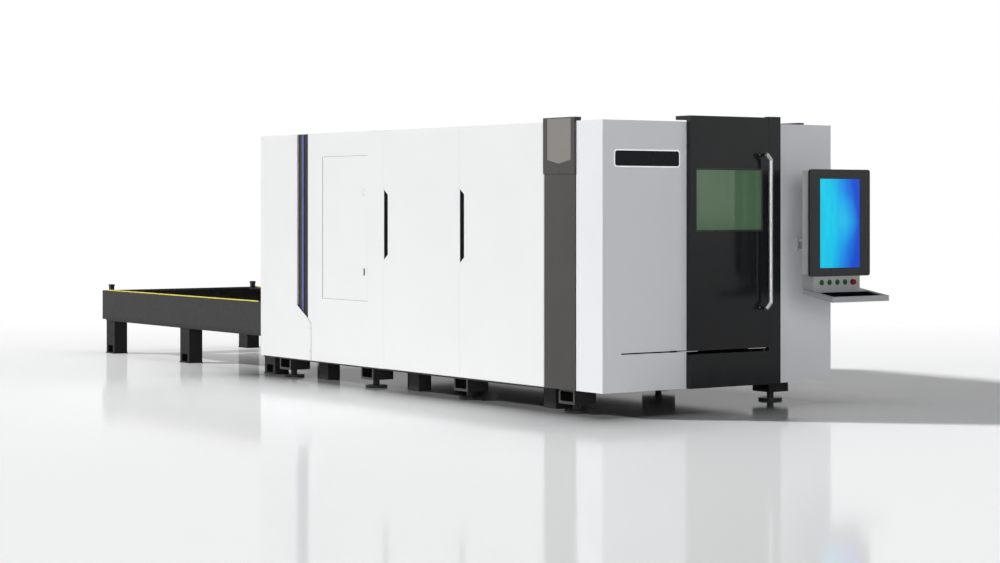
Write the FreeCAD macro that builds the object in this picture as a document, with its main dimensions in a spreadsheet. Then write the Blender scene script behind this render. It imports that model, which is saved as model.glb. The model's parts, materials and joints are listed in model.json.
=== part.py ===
import FreeCAD, Part
import math
import os
import re
import Sketcher

# Fibre laser cutting machine: a closed cutting cell with a sliding front door, and an exchange
# table behind it that swaps two slatted pallets.  Millimetres, +Z up, floor at 0.
# +X runs to the right along the front, +Y runs back; the origin is the middle of the footprint.

SIZES = {
    # the closed cell
    "cell_width": 2290, "cell_length": 5154, "cell_top": 2200, "cell_bottom": 181,
    "skin": 3, "panel_depth": 30, "seam": 3,
    "table_length": 3625, "console_reach": 706,
    # the tubes that carry the skins
    "post": 55, "corner_post": 30, "column_post": 299, "stile": 15,
    "top_rail_drop": 85, "roof_depth": 30,
    # styling column on each side, with its mask and five-sided insert
    "column_front": 326, "column_rear": 712, "column_proud": 8,
    "mask_rear": 722, "mask_bottom": 1804, "mask_top": 2230, "mask_thick": 6,
    "cap_gap": 3, "cap_inward": 50,
    "insert_front": 371, "insert_rear": 665, "insert_shoulder": 1910, "insert_tip": 1881,
    "insert_border": 8, "insert_thick": 4, "insert_recess": 3, "mask_groove": 6,
    # light channel and the seam that runs on from its slanted foot
    "channel_front": 4295, "channel_rear": 4488, "channel_depth": 14,
    "channel_foot_rear": 667, "channel_foot_front": 556, "channel_wall": 2,
    "strip_front": 4376, "strip_rear": 4414, "strip_thick": 8,
    "seam_line": 4238, "seam_elbow": 509,
    # doors in the side
    "service_split": 1874, "service_end": 3020,
    "pull_width": 58, "pull_low": 1105, "pull_high": 1697, "pull_slant": 43,
    "pull_depth": 25, "pull_wall": 2,
    "access_front": 3278, "access_rear": 4033, "access_low": 742, "access_high": 1993,
    "access_gap": 2, "latch_front": 3327, "latch_width": 20, "latch_height": 60,
    "latch_low": 962, "latch_high": 1645, "latch_depth": 5,
    # sliding front door with its skirt, jamb, window and handle
    "door_left": 800, "door_right": 1585, "jamb_left": 1588, "jamb_right": 1711,
    "jamb_top": 2253, "door_proud": 50, "door_clear": 3, "door_low": 467, "door_high": 2216,
    "doorway_left": 980, "doorway_right": 1580, "doorway_low": 480, "doorway_high": 2100,
    "hood_top": 2246, "hood_rear": 125,
    "slot_left": 175, "slot_thin": 460, "slot_low": 440, "slot_high": 470,
    "track_depth": 34, "track_wall": 3,
    "window_left": 856, "window_right": 1516, "window_low": 1375, "window_high": 1840,
    "glass_thick": 5, "glass_inset": 1,
    "bar_low": 2150, "bar_high": 2180, "bar_depth": 20,
    "block_first": 830, "block_second": 910, "block_long": 50, "block_lip": 15,
    "block_depth": 44, "slide_play": 0.5,
    "guide_long": 178, "guide_thick": 5, "guide_first": 704, "guide_second": 1390,
    "guide_tongue": 108,
    "guide_front": 38, "guide_rear": 26,
    "handle_radius": 16, "handle_line": 1548, "handle_reach": 68, "handle_top": 1964,
    "handle_bottom": 768, "handle_slope": 48, "stand_radius": 9, "stand_in": 8,
    # bed: cross beams over the feet, two side beams with the pallet ledges, feet
    "lane": 981, "beam_inner": 772, "beam_width": 100, "beam_front": 150, "beam_rear": 5050,
    "beam_low": 340, "beam_high": 785, "cross_low": 184, "cross_width": 200, "cross_end": 85,
    "ledge_reach": 60, "ledge_thick": 15, "upper_ledge": 528, "lower_ledge": 378,
    "ledge_front": 350, "ledge_rear": 5090,
    "foot_1": 479, "foot_2": 1903, "foot_3": 3335, "foot_4": 4752,
    "tube_near": 30, "tube_far": 1980, "tube_long": 202, "tube_low": 69, "tube_wall": 20,
    "foot_near": 122, "foot_far": 2080, "pad_radius": 95, "pad_height": 18,
    "spindle_radius": 28, "nut_radius": 34, "nut_height": 9,
    "leg_1": 820, "leg_2": 2754, "leg_3": 4246, "leg_long": 156, "leg_inner": 676,
    "leg_width": 125,
    # gantry, crosswise carriage and cutting head
    "way_middle": 822, "way_width": 30, "way_height": 30, "rack_out": 33, "rack_width": 18,
    "rack_height": 23, "way_front": 650, "way_rear": 4060,
    "gantry": 2000, "truck_half": 150, "truck_width": 92, "truck_low": 820, "truck_high": 900,
    "shoe_width": 43, "shoe_low": 795, "shoe_play": 0.4,
    "girder_front": 150, "girder_rear": 30, "girder_high": 1080, "girder_wall": 12,
    "girder_end": 868,
    "cross_way_1": 930, "cross_way_2": 1020, "cross_way_width": 30, "cross_way_depth": 20,
    "motor_radius": 42, "motor_high": 1150, "motor_back": 92, "motor_in": 815,
    "carriage_half": 90, "carriage_low": 915, "carriage_high": 1065, "carriage_thick": 60,
    "tower_half": 70, "tower_low": 880, "tower_high": 1400, "tower_thick": 60,
    "lift_motor_high": 1500, "lift_motor_half": 45,
    "head_gap": 1, "head_plate": 20, "head_plate_low": 900, "head_plate_high": 1200,
    "head_plate_half": 55, "head_axis": 50, "head_radius": 38, "head_low": 830,
    "collar_radius": 30, "collar_low": 780, "tip_radius": 6, "tip_low": 720,
    # deck with the laser source and the electrical cabinet
    "deck_front": 4070, "deck_rear": 5110, "deck_high": 800,
    "source_left": 150, "source_right": 750, "source_front": 4150, "source_rear": 4950,
    "source_high": 1050, "source_lip": 12,
    "cabinet_left": 900, "cabinet_right": 1750, "cabinet_rear": 4550, "cabinet_high": 2050,
    "cabinet_border": 40, "cabinet_line": 4,
    "drive_front": 4865, "drive_case_long": 170, "drive_case_half": 60, "drive_low": 190,
    "drive_radius": 65, "drive_motor_long": 260, "drive_plate": 12,
    # exchange table
    "opening_half": 886, "opening_high": 785,
    "table_front": 5096, "table_half": 881, "skirt_thick": 40, "skirt_low": 343,
    "skirt_high": 660, "skirt_notch": 96, "skirt_notch_high": 357,
    "table_leg_1": 5096, "table_leg_2": 6821, "table_leg_3": 8523,
    "table_leg_long": 195, "table_leg_width": 145, "table_leg_out": 863,
    "leg_window": 115, "leg_window_low": 14, "leg_window_high": 87, "leg_window_deep": 110,
    "leg_plate": 10, "leg_plate_out": 5, "tie_high": 363, "tie_width": 100,
    "stripe_front": 5395, "stripe_rear": 8683, "stripe_width": 8, "stripe_high": 670,
    "stripe_in": 3, "bollard_front": 8610, "bollard_side": 48, "bollard_high": 727,
    "bollard_in": 13, "bollard_cap": 22, "bollard_neck": 3,
    # pallets
    "pallet_half": 757, "pallet_long": 3200, "pallet_in_table": 5290, "pallet_in_bed": 470,
    "rail_width": 50, "rail_rise": 62, "rail_height": 60, "level_gap": 150,
    "wheel_radius": 30, "wheel_in": 10, "wheel_width": 30, "wheel_inset": 160,
    "axle_radius": 10, "axle_play": 0.5, "hanger_thick": 8, "hanger_half": 25, "hanger_drop": 17,
    "slat_thick": 5, "slat_rise": 47, "slat_tip": 127, "slat_valley": 107,
    "slat_first": 100, "slat_count": 25, "tooth_count": 6,
    # operator console on its swing arm
    "arm_middle": 1932, "arm_level": 1255, "bracket_half": 32, "bracket_low": 1200,
    "bracket_high": 1310, "bracket_depth": 38, "pivot_out": 66, "pivot_radius": 24,
    "lug_height": 22, "pin_radius": 10, "pin_play": 0.3, "arm_half_high": 28,
    "arm_half_wide": 20, "swivel_out": 322,
    "housing_left": 1645, "housing_right": 2221, "housing_low": 1040, "housing_high": 1832,
    "housing_rear": 350, "housing_front": 462, "housing_round": 18,
    "bezel_left": 1618, "bezel_right": 2248, "bezel_low": 1023, "bezel_high": 1842,
    "bezel_front": 482, "bezel_round": 22, "bezel_recess": 4,
    "screen_left": 1723, "screen_right": 2140, "screen_low": 1088, "screen_high": 1769,
    "screen_round": 10,
    "panel_left": 1658, "panel_right": 2141, "panel_front": 480, "panel_rear": 352,
    "button_first": 1740, "button_pitch": 81.3, "button_level": 977, "button_radius": 14,
    "button_proud": 11, "button_deep": 16,
    "stop_place": 2064, "stop_radius": 20, "stop_stem": 11, "stop_proud": 22,
    "stop_thick": 14,
    "tray_left": 1638, "tray_right": 2230, "tray_rear": 381, "tray_top": 926,
    "tray_fall": 50, "tray_thick": 42, "tray_rim": 24, "tray_sink": 16,
    "keys_left": 1690, "keys_right": 2178, "keys_front": 685, "keys_rear": 520,
    "keys_thick": 12,
}

# Places that everything else is measured from
LEFT = "(-cell_width / 2)"
FRONT = "(-(cell_length + table_length - console_reach) / 2)"
LANE = "(-cell_width / 2 + lane)"
FOOT_ROWS = ("foot_1", "foot_2", "foot_3", "foot_4")
BED_LEGS = ("leg_1", "leg_2", "leg_3")
TABLE_LEGS = ("table_leg_1", "table_leg_2", "table_leg_3")

document = FreeCAD.newDocument("laser_cutting_machine")
sheet = document.addObject("Spreadsheet::Sheet", "sizes")
for row, (alias, number) in enumerate(SIZES.items(), start=1):
    sheet.set(f"A{row}", alias)
    sheet.set(f"B{row}", str(number))
    sheet.setAlias(f"B{row}", alias)
document.recompute()

sub_parts = []
NORMAL = {"XY": 1, "XZ": -1, "YZ": 1}   # a sketch plane faces +Z, -Y or +X


# ---- small helpers: every length is an expression over the sheet ----

def bound(text):
    """The expression with each alias of the sheet named in full."""
    named = lambda word: f"sizes.{word.group()}" if word.group() in SIZES else word.group()
    return re.sub(r"\b[a-z]\w*", named, str(text))


def across(distance):
    """X of a place measured to the right from the left wall."""
    return f"({LEFT} + {distance})"


def along(distance):
    """Y of a place measured back from the front wall."""
    return f"({FRONT} + {distance})"


def lane(distance):
    """X of a place measured from the middle of the pallets' lane."""
    return f"({LANE} + {distance})"


def rectangle(low_a, high_a, low_b, high_b):
    return [(low_a, low_b), (high_a, low_b), (high_a, high_b), (low_a, high_b)]


def circle(middle_a, middle_b, radius):
    return (middle_a, middle_b, radius)


def regular(middle_a, middle_b, radius, count):
    """A regular outline with its corners on the radius."""
    turn = 360 / count
    return [(f"{middle_a} + {radius} * cos({turn * i:g} deg)",
             f"{middle_b} + {radius} * sin({turn * i:g} deg)") for i in range(count)]


def around(middle_a, middle_b, radius, count):
    """A regular outline with its flats on the radius, for a bore round a turning piece."""
    return regular(middle_a, middle_b, f"({radius}) / cos({180 / count:g} deg)", count)


def weldment(label):
    """A body that is welded into a group."""
    made = document.addObject("PartDesign::Body", label)
    made.AllowCompound = True
    return made


def body(label):
    """A body that is a sub-part of its own."""
    made = weldment(label)
    made.Label = label
    sub_parts.append(made)
    return made


def origin_of(owner, role):
    return next(item for item in owner.Origin.OriginFeatures if item.Role == role)


def hold(sketch, kind, geometry, point, expression):
    """Fix one coordinate of a point to an expression over the sheet."""
    number = sketch.addConstraint(Sketcher.Constraint(kind, -1, 1, geometry, point, 1.0))
    sketch.setExpression(f"Constraints[{number}]", bound(expression))


def outline(owner, plane, loops, level, middle=None):
    """A sketch of closed loops at a level along the plane's own axis."""
    sketch = owner.newObject("Sketcher::SketchObject", "outline")
    sketch.AttachmentSupport = [(origin_of(owner, f"{plane}_Plane"), "")]
    sketch.MapMode = "FlatFace"
    sketch.setExpression("AttachmentOffset.Base.z", bound(f"{NORMAL[plane]} * ({level})"))
    if middle:
        sketch.setExpression("AttachmentOffset.Base.x", bound(middle[0]))
        sketch.setExpression("AttachmentOffset.Base.y", bound(middle[1]))
    for loop in loops:
        first = sketch.GeometryCount
        if isinstance(loop, tuple):
            sketch.addGeometry(Part.Circle(FreeCAD.Vector(1, 1, 0), FreeCAD.Vector(0, 0, 1), 1))
            hold(sketch, "DistanceX", first, 3, loop[0])
            hold(sketch, "DistanceY", first, 3, loop[1])
            number = sketch.addConstraint(Sketcher.Constraint("Radius", first, 1.0))
            sketch.setExpression(f"Constraints[{number}]", bound(loop[2]))
            continue
        turn = 2 * math.pi / len(loop)
        corners = [FreeCAD.Vector(math.cos(turn * i), math.sin(turn * i), 0)
                   for i in range(len(loop))]
        for i, corner in enumerate(corners):
            sketch.addGeometry(Part.LineSegment(corner, corners[(i + 1) % len(loop)]))
        for i in range(len(loop)):
            following = first + (i + 1) % len(loop)
            sketch.addConstraint(Sketcher.Constraint("Coincident", first + i, 2, following, 1))
        for i, (place_a, place_b) in enumerate(loop):
            hold(sketch, "DistanceX", first + i, 1, place_a)
            hold(sketch, "DistanceY", first + i, 1, place_b)
    return sketch


def pad(owner, plane, loops, start, depth):
    """Add the loops from start to start + depth along the plane's axis."""
    sketch = outline(owner, plane, loops, start)
    feature = owner.newObject("PartDesign::Pad", "pad")
    feature.Profile = sketch
    feature.setExpression("Length", bound(depth))
    feature.Reversed = NORMAL[plane] < 0
    return feature


def pocket(owner, plane, loops, start, depth):
    """Take the loops away from start to start + depth along the plane's axis."""
    sketch = outline(owner, plane, loops, start)
    feature = owner.newObject("PartDesign::Pocket", "pocket")
    feature.Profile = sketch
    feature.setExpression("Length", bound(depth))
    feature.Reversed = NORMAL[plane] > 0
    return feature


def spin(owner, plane, loop, level, middle):
    """Revolve a half outline about the sketch's own upright axis at middle."""
    sketch = outline(owner, plane, [loop], level, middle)
    feature = owner.newObject("PartDesign::Revolution", "turn")
    feature.Profile = sketch
    feature.ReferenceAxis = (sketch, ["V_Axis"])
    feature.Angle = 360
    return feature


def mirror(owner, features):
    """The same features again on the other side of the cell's middle plane."""
    feature = owner.newObject("PartDesign::Mirrored", "mirror")
    feature.Originals = features
    feature.MirrorPlane = (origin_of(owner, "YZ_Plane"), [""])
    owner.Tip = feature
    return feature


def soften(owner, radius, chosen):
    """Round the edges of the last feature that the test picks."""
    document.recompute()
    last = owner.Tip
    names = [f"Edge{i}" for i, edge in enumerate(last.Shape.Edges, start=1) if chosen(edge)]
    feature = owner.newObject("PartDesign::Fillet", "rounding")
    feature.Base = (last, names)
    feature.setExpression("Radius", bound(radius))
    return feature


def bevel(owner, width, chosen):
    """Cut a flat along the edges of the last feature that the test picks."""
    document.recompute()
    last = owner.Tip
    names = [f"Edge{i}" for i, edge in enumerate(last.Shape.Edges, start=1) if chosen(edge)]
    feature = owner.newObject("PartDesign::Chamfer", "bevel")
    feature.Base = (last, names)
    feature.setExpression("Size", bound(width))
    return feature


def parallel(edge, axis):
    if not isinstance(edge.Curve, Part.Line):
        return False
    return abs(edge.Curve.Direction.dot(axis)) > 0.999


def box(low_x, high_x, low_y, high_y, low_z, high_z):
    """A tube or block of a welded group."""
    made = document.addObject("Part::Box", "tube")
    spans = (("Length", low_x, high_x), ("Width", low_y, high_y), ("Height", low_z, high_z))
    for name, low, high in spans:
        made.setExpression(name, bound(f"{high} - ({low})"))
    for name, low in (("x", low_x), ("y", low_y), ("z", low_z)):
        made.setExpression(f"Placement.Base.{name}", bound(low))
    return made


def prism(count, radius, length, place_x, place_y, place_z, lying=False):
    """A bar of regular section that stands on its place, or lies along +X from it."""
    made = document.addObject("Part::Prism", "bar")
    made.Polygon = count
    if lying:
        made.Placement.Rotation = FreeCAD.Rotation(FreeCAD.Vector(0, 1, 0), 90)
    made.setExpression("Circumradius", bound(radius))
    made.setExpression("Height", bound(length))
    for name, start in (("x", place_x), ("y", place_y), ("z", place_z)):
        made.setExpression(f"Placement.Base.{name}", bound(start))
    return made


def fusion(label, members):
    """Pieces that are one solid."""
    made = document.addObject("Part::MultiFuse", label)
    made.Label = label
    made.Shapes = members
    sub_parts.append(made)
    return made


def group(label, members):
    """Pieces that lie face to face and share one sub-part."""
    made = document.addObject("Part::Compound", label)
    made.Label = label
    made.Links = members
    sub_parts.append(made)
    return made


def size(alias):
    return float(sheet.get(alias))


# ---- closed cell: tubes, skins, styling ----

def cell_frame():
    posts = ("corner_post", "column_post", "(column_rear - 27)", "(service_split - post / 2)",
             "(service_end - post / 2)", "(seam_line - post / 2)",
             "(cell_length - panel_depth - post)")
    rail_low = "(cell_top - top_rail_drop)"
    rail_high = "(cell_top - panel_depth)"
    tubes = []
    sides = (("panel_depth", "(panel_depth + post)"),
             ("(cell_width - panel_depth - post)", "(cell_width - panel_depth)"))
    for near, far in sides:
        for place in posts:
            tubes.append(box(across(near), across(far), along(place), along(f"{place} + post"),
                             "cross_low", rail_high))
        for here, following in zip(posts, posts[1:]):
            for low, high in (("cross_low", "cross_low + post"), (rail_low, rail_high)):
                tubes.append(box(across(near), across(far), along(f"{here} + post"),
                                 along(following), low, high))
    for place in posts:
        tubes.append(box(across("panel_depth + post"),
                         across("cell_width - panel_depth - post"),
                         along(place), along(f"{place} + post"), rail_low, rail_high))
    # narrow stile that the front service door hangs on, clear of the mask
    tubes.append(box(across("0"), across("panel_depth"), along("column_rear + seam"),
                     along("column_rear + seam + stile"), "cell_bottom + seam",
                     "cell_top - seam"))
    group("cell_frame", tubes)


def roof():
    made = body("roof")
    pad(made, "XY", [rectangle(across("panel_depth"), across("cell_width - panel_depth"),
                               along("panel_depth"), along("cell_length - panel_depth"))],
        "cell_top - roof_depth", "roof_depth")
    wall = "panel_depth + skin"
    pocket(made, "XY", [rectangle(across(wall), across(f"cell_width - ({wall})"),
                                  along(wall), along(f"cell_length - ({wall})"))],
           "cell_top - roof_depth", "roof_depth - skin")


def front_wall():
    """One sheet folded round both front corners, with the doorway and the guide slot."""
    made = body("front_wall")
    inner = "cell_width - skin"
    end = "column_front - seam"
    fold = [(across("0"), along(end)), (across("0"), along("0")),
            (across("cell_width"), along("0")), (across("cell_width"), along(end)),
            (across(inner), along(end)), (across(inner), along("skin")),
            (across("skin"), along("skin")), (across("skin"), along(end))]
    pad(made, "XY", [fold], "cell_bottom", "cell_top - cell_bottom")
    doorway = rectangle(across("doorway_left"), across("doorway_right"),
                        "doorway_low", "doorway_high")
    slot = [(across("slot_left"), "slot_thin"), (across("door_left"), "slot_thin"),
            (across("door_left"), "slot_low"), (across("jamb_left"), "slot_low"),
            (across("jamb_left"), "slot_high"), (across("slot_left"), "slot_high")]
    pocket(made, "XZ", [doorway, slot], along("0"), "skin")


def rear_wall():
    """Sheet with turned edges, open from its foot upwards for the pallets."""
    made = body("rear_wall")
    edge = "panel_depth"
    high = "cell_top"
    def arch(inset):
        return [(across(f"{edge} + {inset}"), f"cell_bottom + {inset}"),
                (lane(f"-(opening_half + {inset})"), f"cell_bottom + {inset}"),
                (lane(f"-(opening_half + {inset})"), f"opening_high + {inset}"),
                (lane(f"opening_half + {inset}"), f"opening_high + {inset}"),
                (lane(f"opening_half + {inset}"), f"cell_bottom + {inset}"),
                (across(f"cell_width - {edge} - {inset}"), f"cell_bottom + {inset}"),
                (across(f"cell_width - {edge} - {inset}"), f"{high} - {inset}"),
                (across(f"{edge} + {inset}"), f"{high} - {inset}")]
    pad(made, "XZ", [arch("0")], along("cell_length - panel_depth"), "panel_depth")
    pocket(made, "XZ", [arch("skin")], along("cell_length - panel_depth"),
           "panel_depth - skin")


def columns():
    made = body("columns")
    out = "-column_proud"
    front, rear = "column_front", "column_rear"
    channel = [(across("panel_depth"), along(front)), (across(out), along(front)),
               (across(out), along(rear)), (across("panel_depth"), along(rear)),
               (across("panel_depth"), along(f"{rear} - skin")),
               (across(f"{out} + skin"), along(f"{rear} - skin")),
               (across(f"{out} + skin"), along(f"{front} + skin")),
               (across("panel_depth"), along(f"{front} + skin"))]
    mirror(made, [pad(made, "XY", [channel], "cell_bottom", "cell_top - cell_bottom")])


def insert_outline():
    middle = "((insert_front + insert_rear) / 2)"
    return [(along("insert_front"), "insert_shoulder"), (along(middle), "insert_tip"),
            (along("insert_rear"), "insert_shoulder"),
            (along("insert_rear"), "mask_top - insert_border"),
            (along("insert_front"), "mask_top - insert_border")]


def column_masks():
    """Dark plate over the top of each column, folded inwards as a cap over the roof's edge."""
    made = body("column_masks")
    out = "-(column_proud + mask_thick)"
    plate = pad(made, "YZ", [rectangle(along("column_front"), along("mask_rear"),
                                       "mask_bottom", "mask_top")],
                across(out), "mask_thick")
    cap = pad(made, "YZ", [rectangle(along("column_front"), along("column_rear"),
                                     "cell_top + cap_gap", "mask_top")],
              across(f"{out} + mask_thick"), "column_proud + cap_inward")
    recess = pocket(made, "YZ", [insert_outline()], across(out), "insert_recess")
    middle = "((insert_front + insert_rear) / 2)"
    groove = pocket(made, "YZ", [rectangle(along(f"{middle} - mask_groove / 2"),
                                           along(f"{middle} + mask_groove / 2"),
                                           "mask_bottom", "insert_tip + mask_groove")],
                    across(out), "insert_recess / 2")
    mirror(made, [plate, cap, recess, groove])


def mask_inserts():
    made = body("mask_inserts")
    out = "-(column_proud + mask_thick) + insert_recess - insert_thick"
    mirror(made, [pad(made, "YZ", [insert_outline()], across(out), "insert_thick")])


def seam_edge(inset):
    """The edge between side panel and rear cover, from the floor end up to the light channel."""
    return [(along(f"seam_line + {inset}"), "cell_bottom"),
            (along(f"seam_line + {inset}"), "seam_elbow"),
            (along(f"channel_front + {inset}"), "channel_foot_front")]


def side_panel(label, place, start, with_access):
    """Sheet with turned edges; place says which side of the sheet is the outer face."""
    made = body(label)
    outer = [(along(start), "cell_bottom")] + seam_edge("-seam")
    outer += [(along("channel_front - seam"), "cell_top"), (along(start), "cell_top")]
    inner = [(along(f"{start} + skin"), "cell_bottom + skin")]
    inner += [(along("seam_line - seam - skin"), "cell_bottom + skin"),
              (along("seam_line - seam - skin"), "seam_elbow"),
              (along("channel_front - seam - skin"), "channel_foot_front"),
              (along("channel_front - seam - skin"), "cell_top - skin"),
              (along(f"{start} + skin"), "cell_top - skin")]
    hole = rectangle(along("access_front"), along("access_rear"), "access_low", "access_high")
    rim = rectangle(along("access_front - skin"), along("access_rear + skin"),
                    "access_low - skin", "access_high + skin")
    pad(made, "YZ", [outer, hole] if with_access else [outer], place, "panel_depth")
    behind = f"{place} + skin" if with_access else place
    pocket(made, "YZ", [inner, rim] if with_access else [inner], behind,
           "panel_depth - skin")
    return made


def side_panels():
    side_panel("side_panel_left", across("0"), "service_end + seam / 2", True)
    right = side_panel("side_panel_right", across("cell_width - panel_depth"),
                       "column_rear + seam", False)
    for joint in ("service_split", "service_end"):
        pocket(right, "YZ", [rectangle(along(f"{joint} - seam / 2"), along(f"{joint} + seam / 2"),
                                       "cell_bottom", "cell_top")],
               across("cell_width - skin / 2"), "skin / 2")


def rear_covers():
    """Cover behind the light channel on each side."""
    made = body("rear_covers")
    rear, cover_high = along("cell_length"), "cell_top"
    outer = seam_edge("0") + [(along("channel_rear"), "channel_foot_rear"),
                              (along("channel_rear"), cover_high), (rear, cover_high),
                              (rear, "cell_bottom")]
    inner = [(along("seam_line + skin"), "cell_bottom + skin"),
             (along("seam_line + skin"), "seam_elbow - skin"),
             (along("channel_front + skin"), "channel_foot_front - skin"),
             (along("channel_rear + skin"), "channel_foot_rear - skin"),
             (along("channel_rear + skin"), f"{cover_high} - skin"),
             (along("cell_length - skin"), f"{cover_high} - skin"),
             (along("cell_length - skin"), "cell_bottom + skin")]
    sheet_metal = pad(made, "YZ", [outer], across("0"), "panel_depth")
    hollow = pocket(made, "YZ", [inner], across("skin"), "panel_depth - skin")
    mirror(made, [sheet_metal, hollow])


def channel_outline(inset):
    return [(along(f"channel_front + {inset}"), f"channel_foot_front + {inset}"),
            (along(f"channel_rear - {inset}"), f"channel_foot_rear + {inset}"),
            (along(f"channel_rear - {inset}"), "cell_top"),
            (along(f"channel_front + {inset}"), "cell_top")]


def light_channels():
    """Dark trough with the light strip on its floor, recessed in each side."""
    made = body("light_channels")
    trough = pad(made, "YZ", [channel_outline("0.5")], across("channel_wall"), "channel_depth")
    hollow = pocket(made, "YZ", [channel_outline("0.5 + channel_wall")],
                    across("channel_wall"), "channel_depth - channel_wall")
    mirror(made, [trough, hollow])
    strips = body("light_strips")
    slope = "(channel_foot_rear - channel_foot_front) / (channel_rear - channel_front)"
    foot = "channel_foot_front + 6 * channel_wall + ({} - channel_front) * " + slope
    bar = [(along("strip_front"), foot.format("strip_front")),
           (along("strip_rear"), foot.format("strip_rear")),
           (along("strip_rear"), "cell_top - channel_wall"),
           (along("strip_front"), "cell_top - channel_wall")]
    mirror(strips, [pad(strips, "YZ", [bar], across("channel_depth - strip_thick"),
                        "strip_thick")])


# ---- doors in the side ----

def pull_outline(edge, inset):
    """Finger pull: long side on the door's rear edge, slanted top and bottom."""
    near = f"{edge} - pull_width + {inset}"
    far = f"{edge} - {inset}"
    return [(along(near), f"pull_low + pull_slant + {inset}"), (along(far), f"pull_low + {inset}"),
            (along(far), f"pull_high - {inset}"), (along(near), f"pull_high - pull_slant - {inset}")]


def service_door(label, pull_label, start, end):
    made = body(label)
    low, high = "cell_bottom + 2", "cell_top - 2"
    sheet_edge = rectangle(along(start), along(end), low, high)
    pad(made, "YZ", [sheet_edge], across("0"), "panel_depth")
    inner = rectangle(along(f"{start} + skin"), along(f"{end} - skin"),
                      f"{low} + skin", f"{high} - skin")
    pocket(made, "YZ", [inner], across("skin"), "panel_depth - skin")
    notch_edge = f"{end} - skin"
    pocket(made, "YZ", [pull_outline(notch_edge, "0")], across("0"), "skin")
    cup = body(pull_label)
    pad(cup, "YZ", [pull_outline(notch_edge, "0")], across("0"), "pull_depth")
    pocket(cup, "YZ", [pull_outline(notch_edge, "pull_wall")], across("0"),
           "pull_depth - pull_wall")


def service_doors():
    service_door("service_door_front", "door_pull_front",
                 "(column_rear + 2 * seam + stile)", "(service_split - seam / 2)")
    service_door("service_door_rear", "door_pull_rear",
                 "(service_split + seam / 2)", "(service_end - seam / 2)")


def access_door():
    made = body("access_door")
    front, rear = "access_front + access_gap", "access_rear - access_gap"
    low, high = "access_low + access_gap", "access_high - access_gap"
    pad(made, "YZ", [rectangle(along(front), along(rear), low, high)], across("0"),
        "panel_depth - access_gap")
    pocket(made, "YZ", [rectangle(along(f"{front} + skin"), along(f"{rear} - skin"),
                                  f"{low} + skin", f"{high} - skin")],
           across("latch_depth + skin"), "panel_depth")
    for label, level in (("access_latch_lower", "latch_low"), ("access_latch_upper", "latch_high")):
        pocket(made, "YZ", [rectangle(along("latch_front - 1"), along("latch_front + latch_width + 1"),
                                      f"{level} - 1", f"{level} + latch_height + 1")],
               across("0"), "latch_depth")
        paddle = body(label)
        pad(paddle, "YZ", [rectangle(along("latch_front"), along("latch_front + latch_width"),
                                     level, f"{level} + latch_height")],
            across("0"), "latch_depth")
        pocket(paddle, "YZ", [rectangle(along("latch_front + 3"),
                                        along("latch_front + latch_width / 2"),
                                        f"{level} + 6", f"{level} + latch_height - 6")],
               across("0"), "latch_depth / 3")


# ---- sliding front door and what it runs in ----

def surround_outline(inset):
    """Skirt below the door and jamb beside it, as one shape."""
    return [(across(f"door_left + {inset}"), f"cell_bottom + {inset}"),
            (across(f"jamb_right - {inset}"), f"cell_bottom + {inset}"),
            (across(f"jamb_right - {inset}"), f"jamb_top - {inset}"),
            (across(f"jamb_left + {inset}"), f"jamb_top - {inset}"),
            (across(f"jamb_left + {inset}"), f"slot_low - {inset}"),
            (across(f"door_left + {inset}"), f"slot_low - {inset}")]


def door_surround():
    made = body("door_surround")
    pad(made, "XZ", [surround_outline("0")], along("-door_proud"), "door_proud")
    pocket(made, "XZ", [surround_outline("skin")], along("-door_proud + skin"),
           "door_proud - skin")
    track = body("door_track")
    low, high, wall = "slot_low - track_wall", "slot_high + track_wall", "track_wall"
    section = [(along("skin"), low), (along("track_depth"), low), (along("track_depth"), high),
               (along("skin"), high), (along("skin"), f"{high} - {wall}"),
               (along(f"track_depth - {wall}"), f"{high} - {wall}"),
               (along(f"track_depth - {wall}"), f"{low} + {wall}"),
               (along("skin"), f"{low} + {wall}")]
    pad(track, "YZ", [section], across("slot_left - track_wall"),
        "jamb_left - slot_left + 2 * track_wall")
    blocks = body("door_slide_blocks")
    block_low, block_high = "bar_low - block_lip", "bar_high + block_lip"
    for place in ("block_first", "block_second"):
        shape = [(along("0"), block_low), (along("0"), block_high),
                 (along("-block_depth"), block_high),
                 (along("-block_depth"), "bar_high + slide_play"),
                 (along("-(door_proud - skin - bar_depth) + slide_play"), "bar_high + slide_play"),
                 (along("-(door_proud - skin - bar_depth) + slide_play"), "bar_low - slide_play"),
                 (along("-block_depth"), "bar_low - slide_play"),
                 (along("-block_depth"), block_low)]
        pad(blocks, "YZ", [shape], across(place), "block_long")


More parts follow.
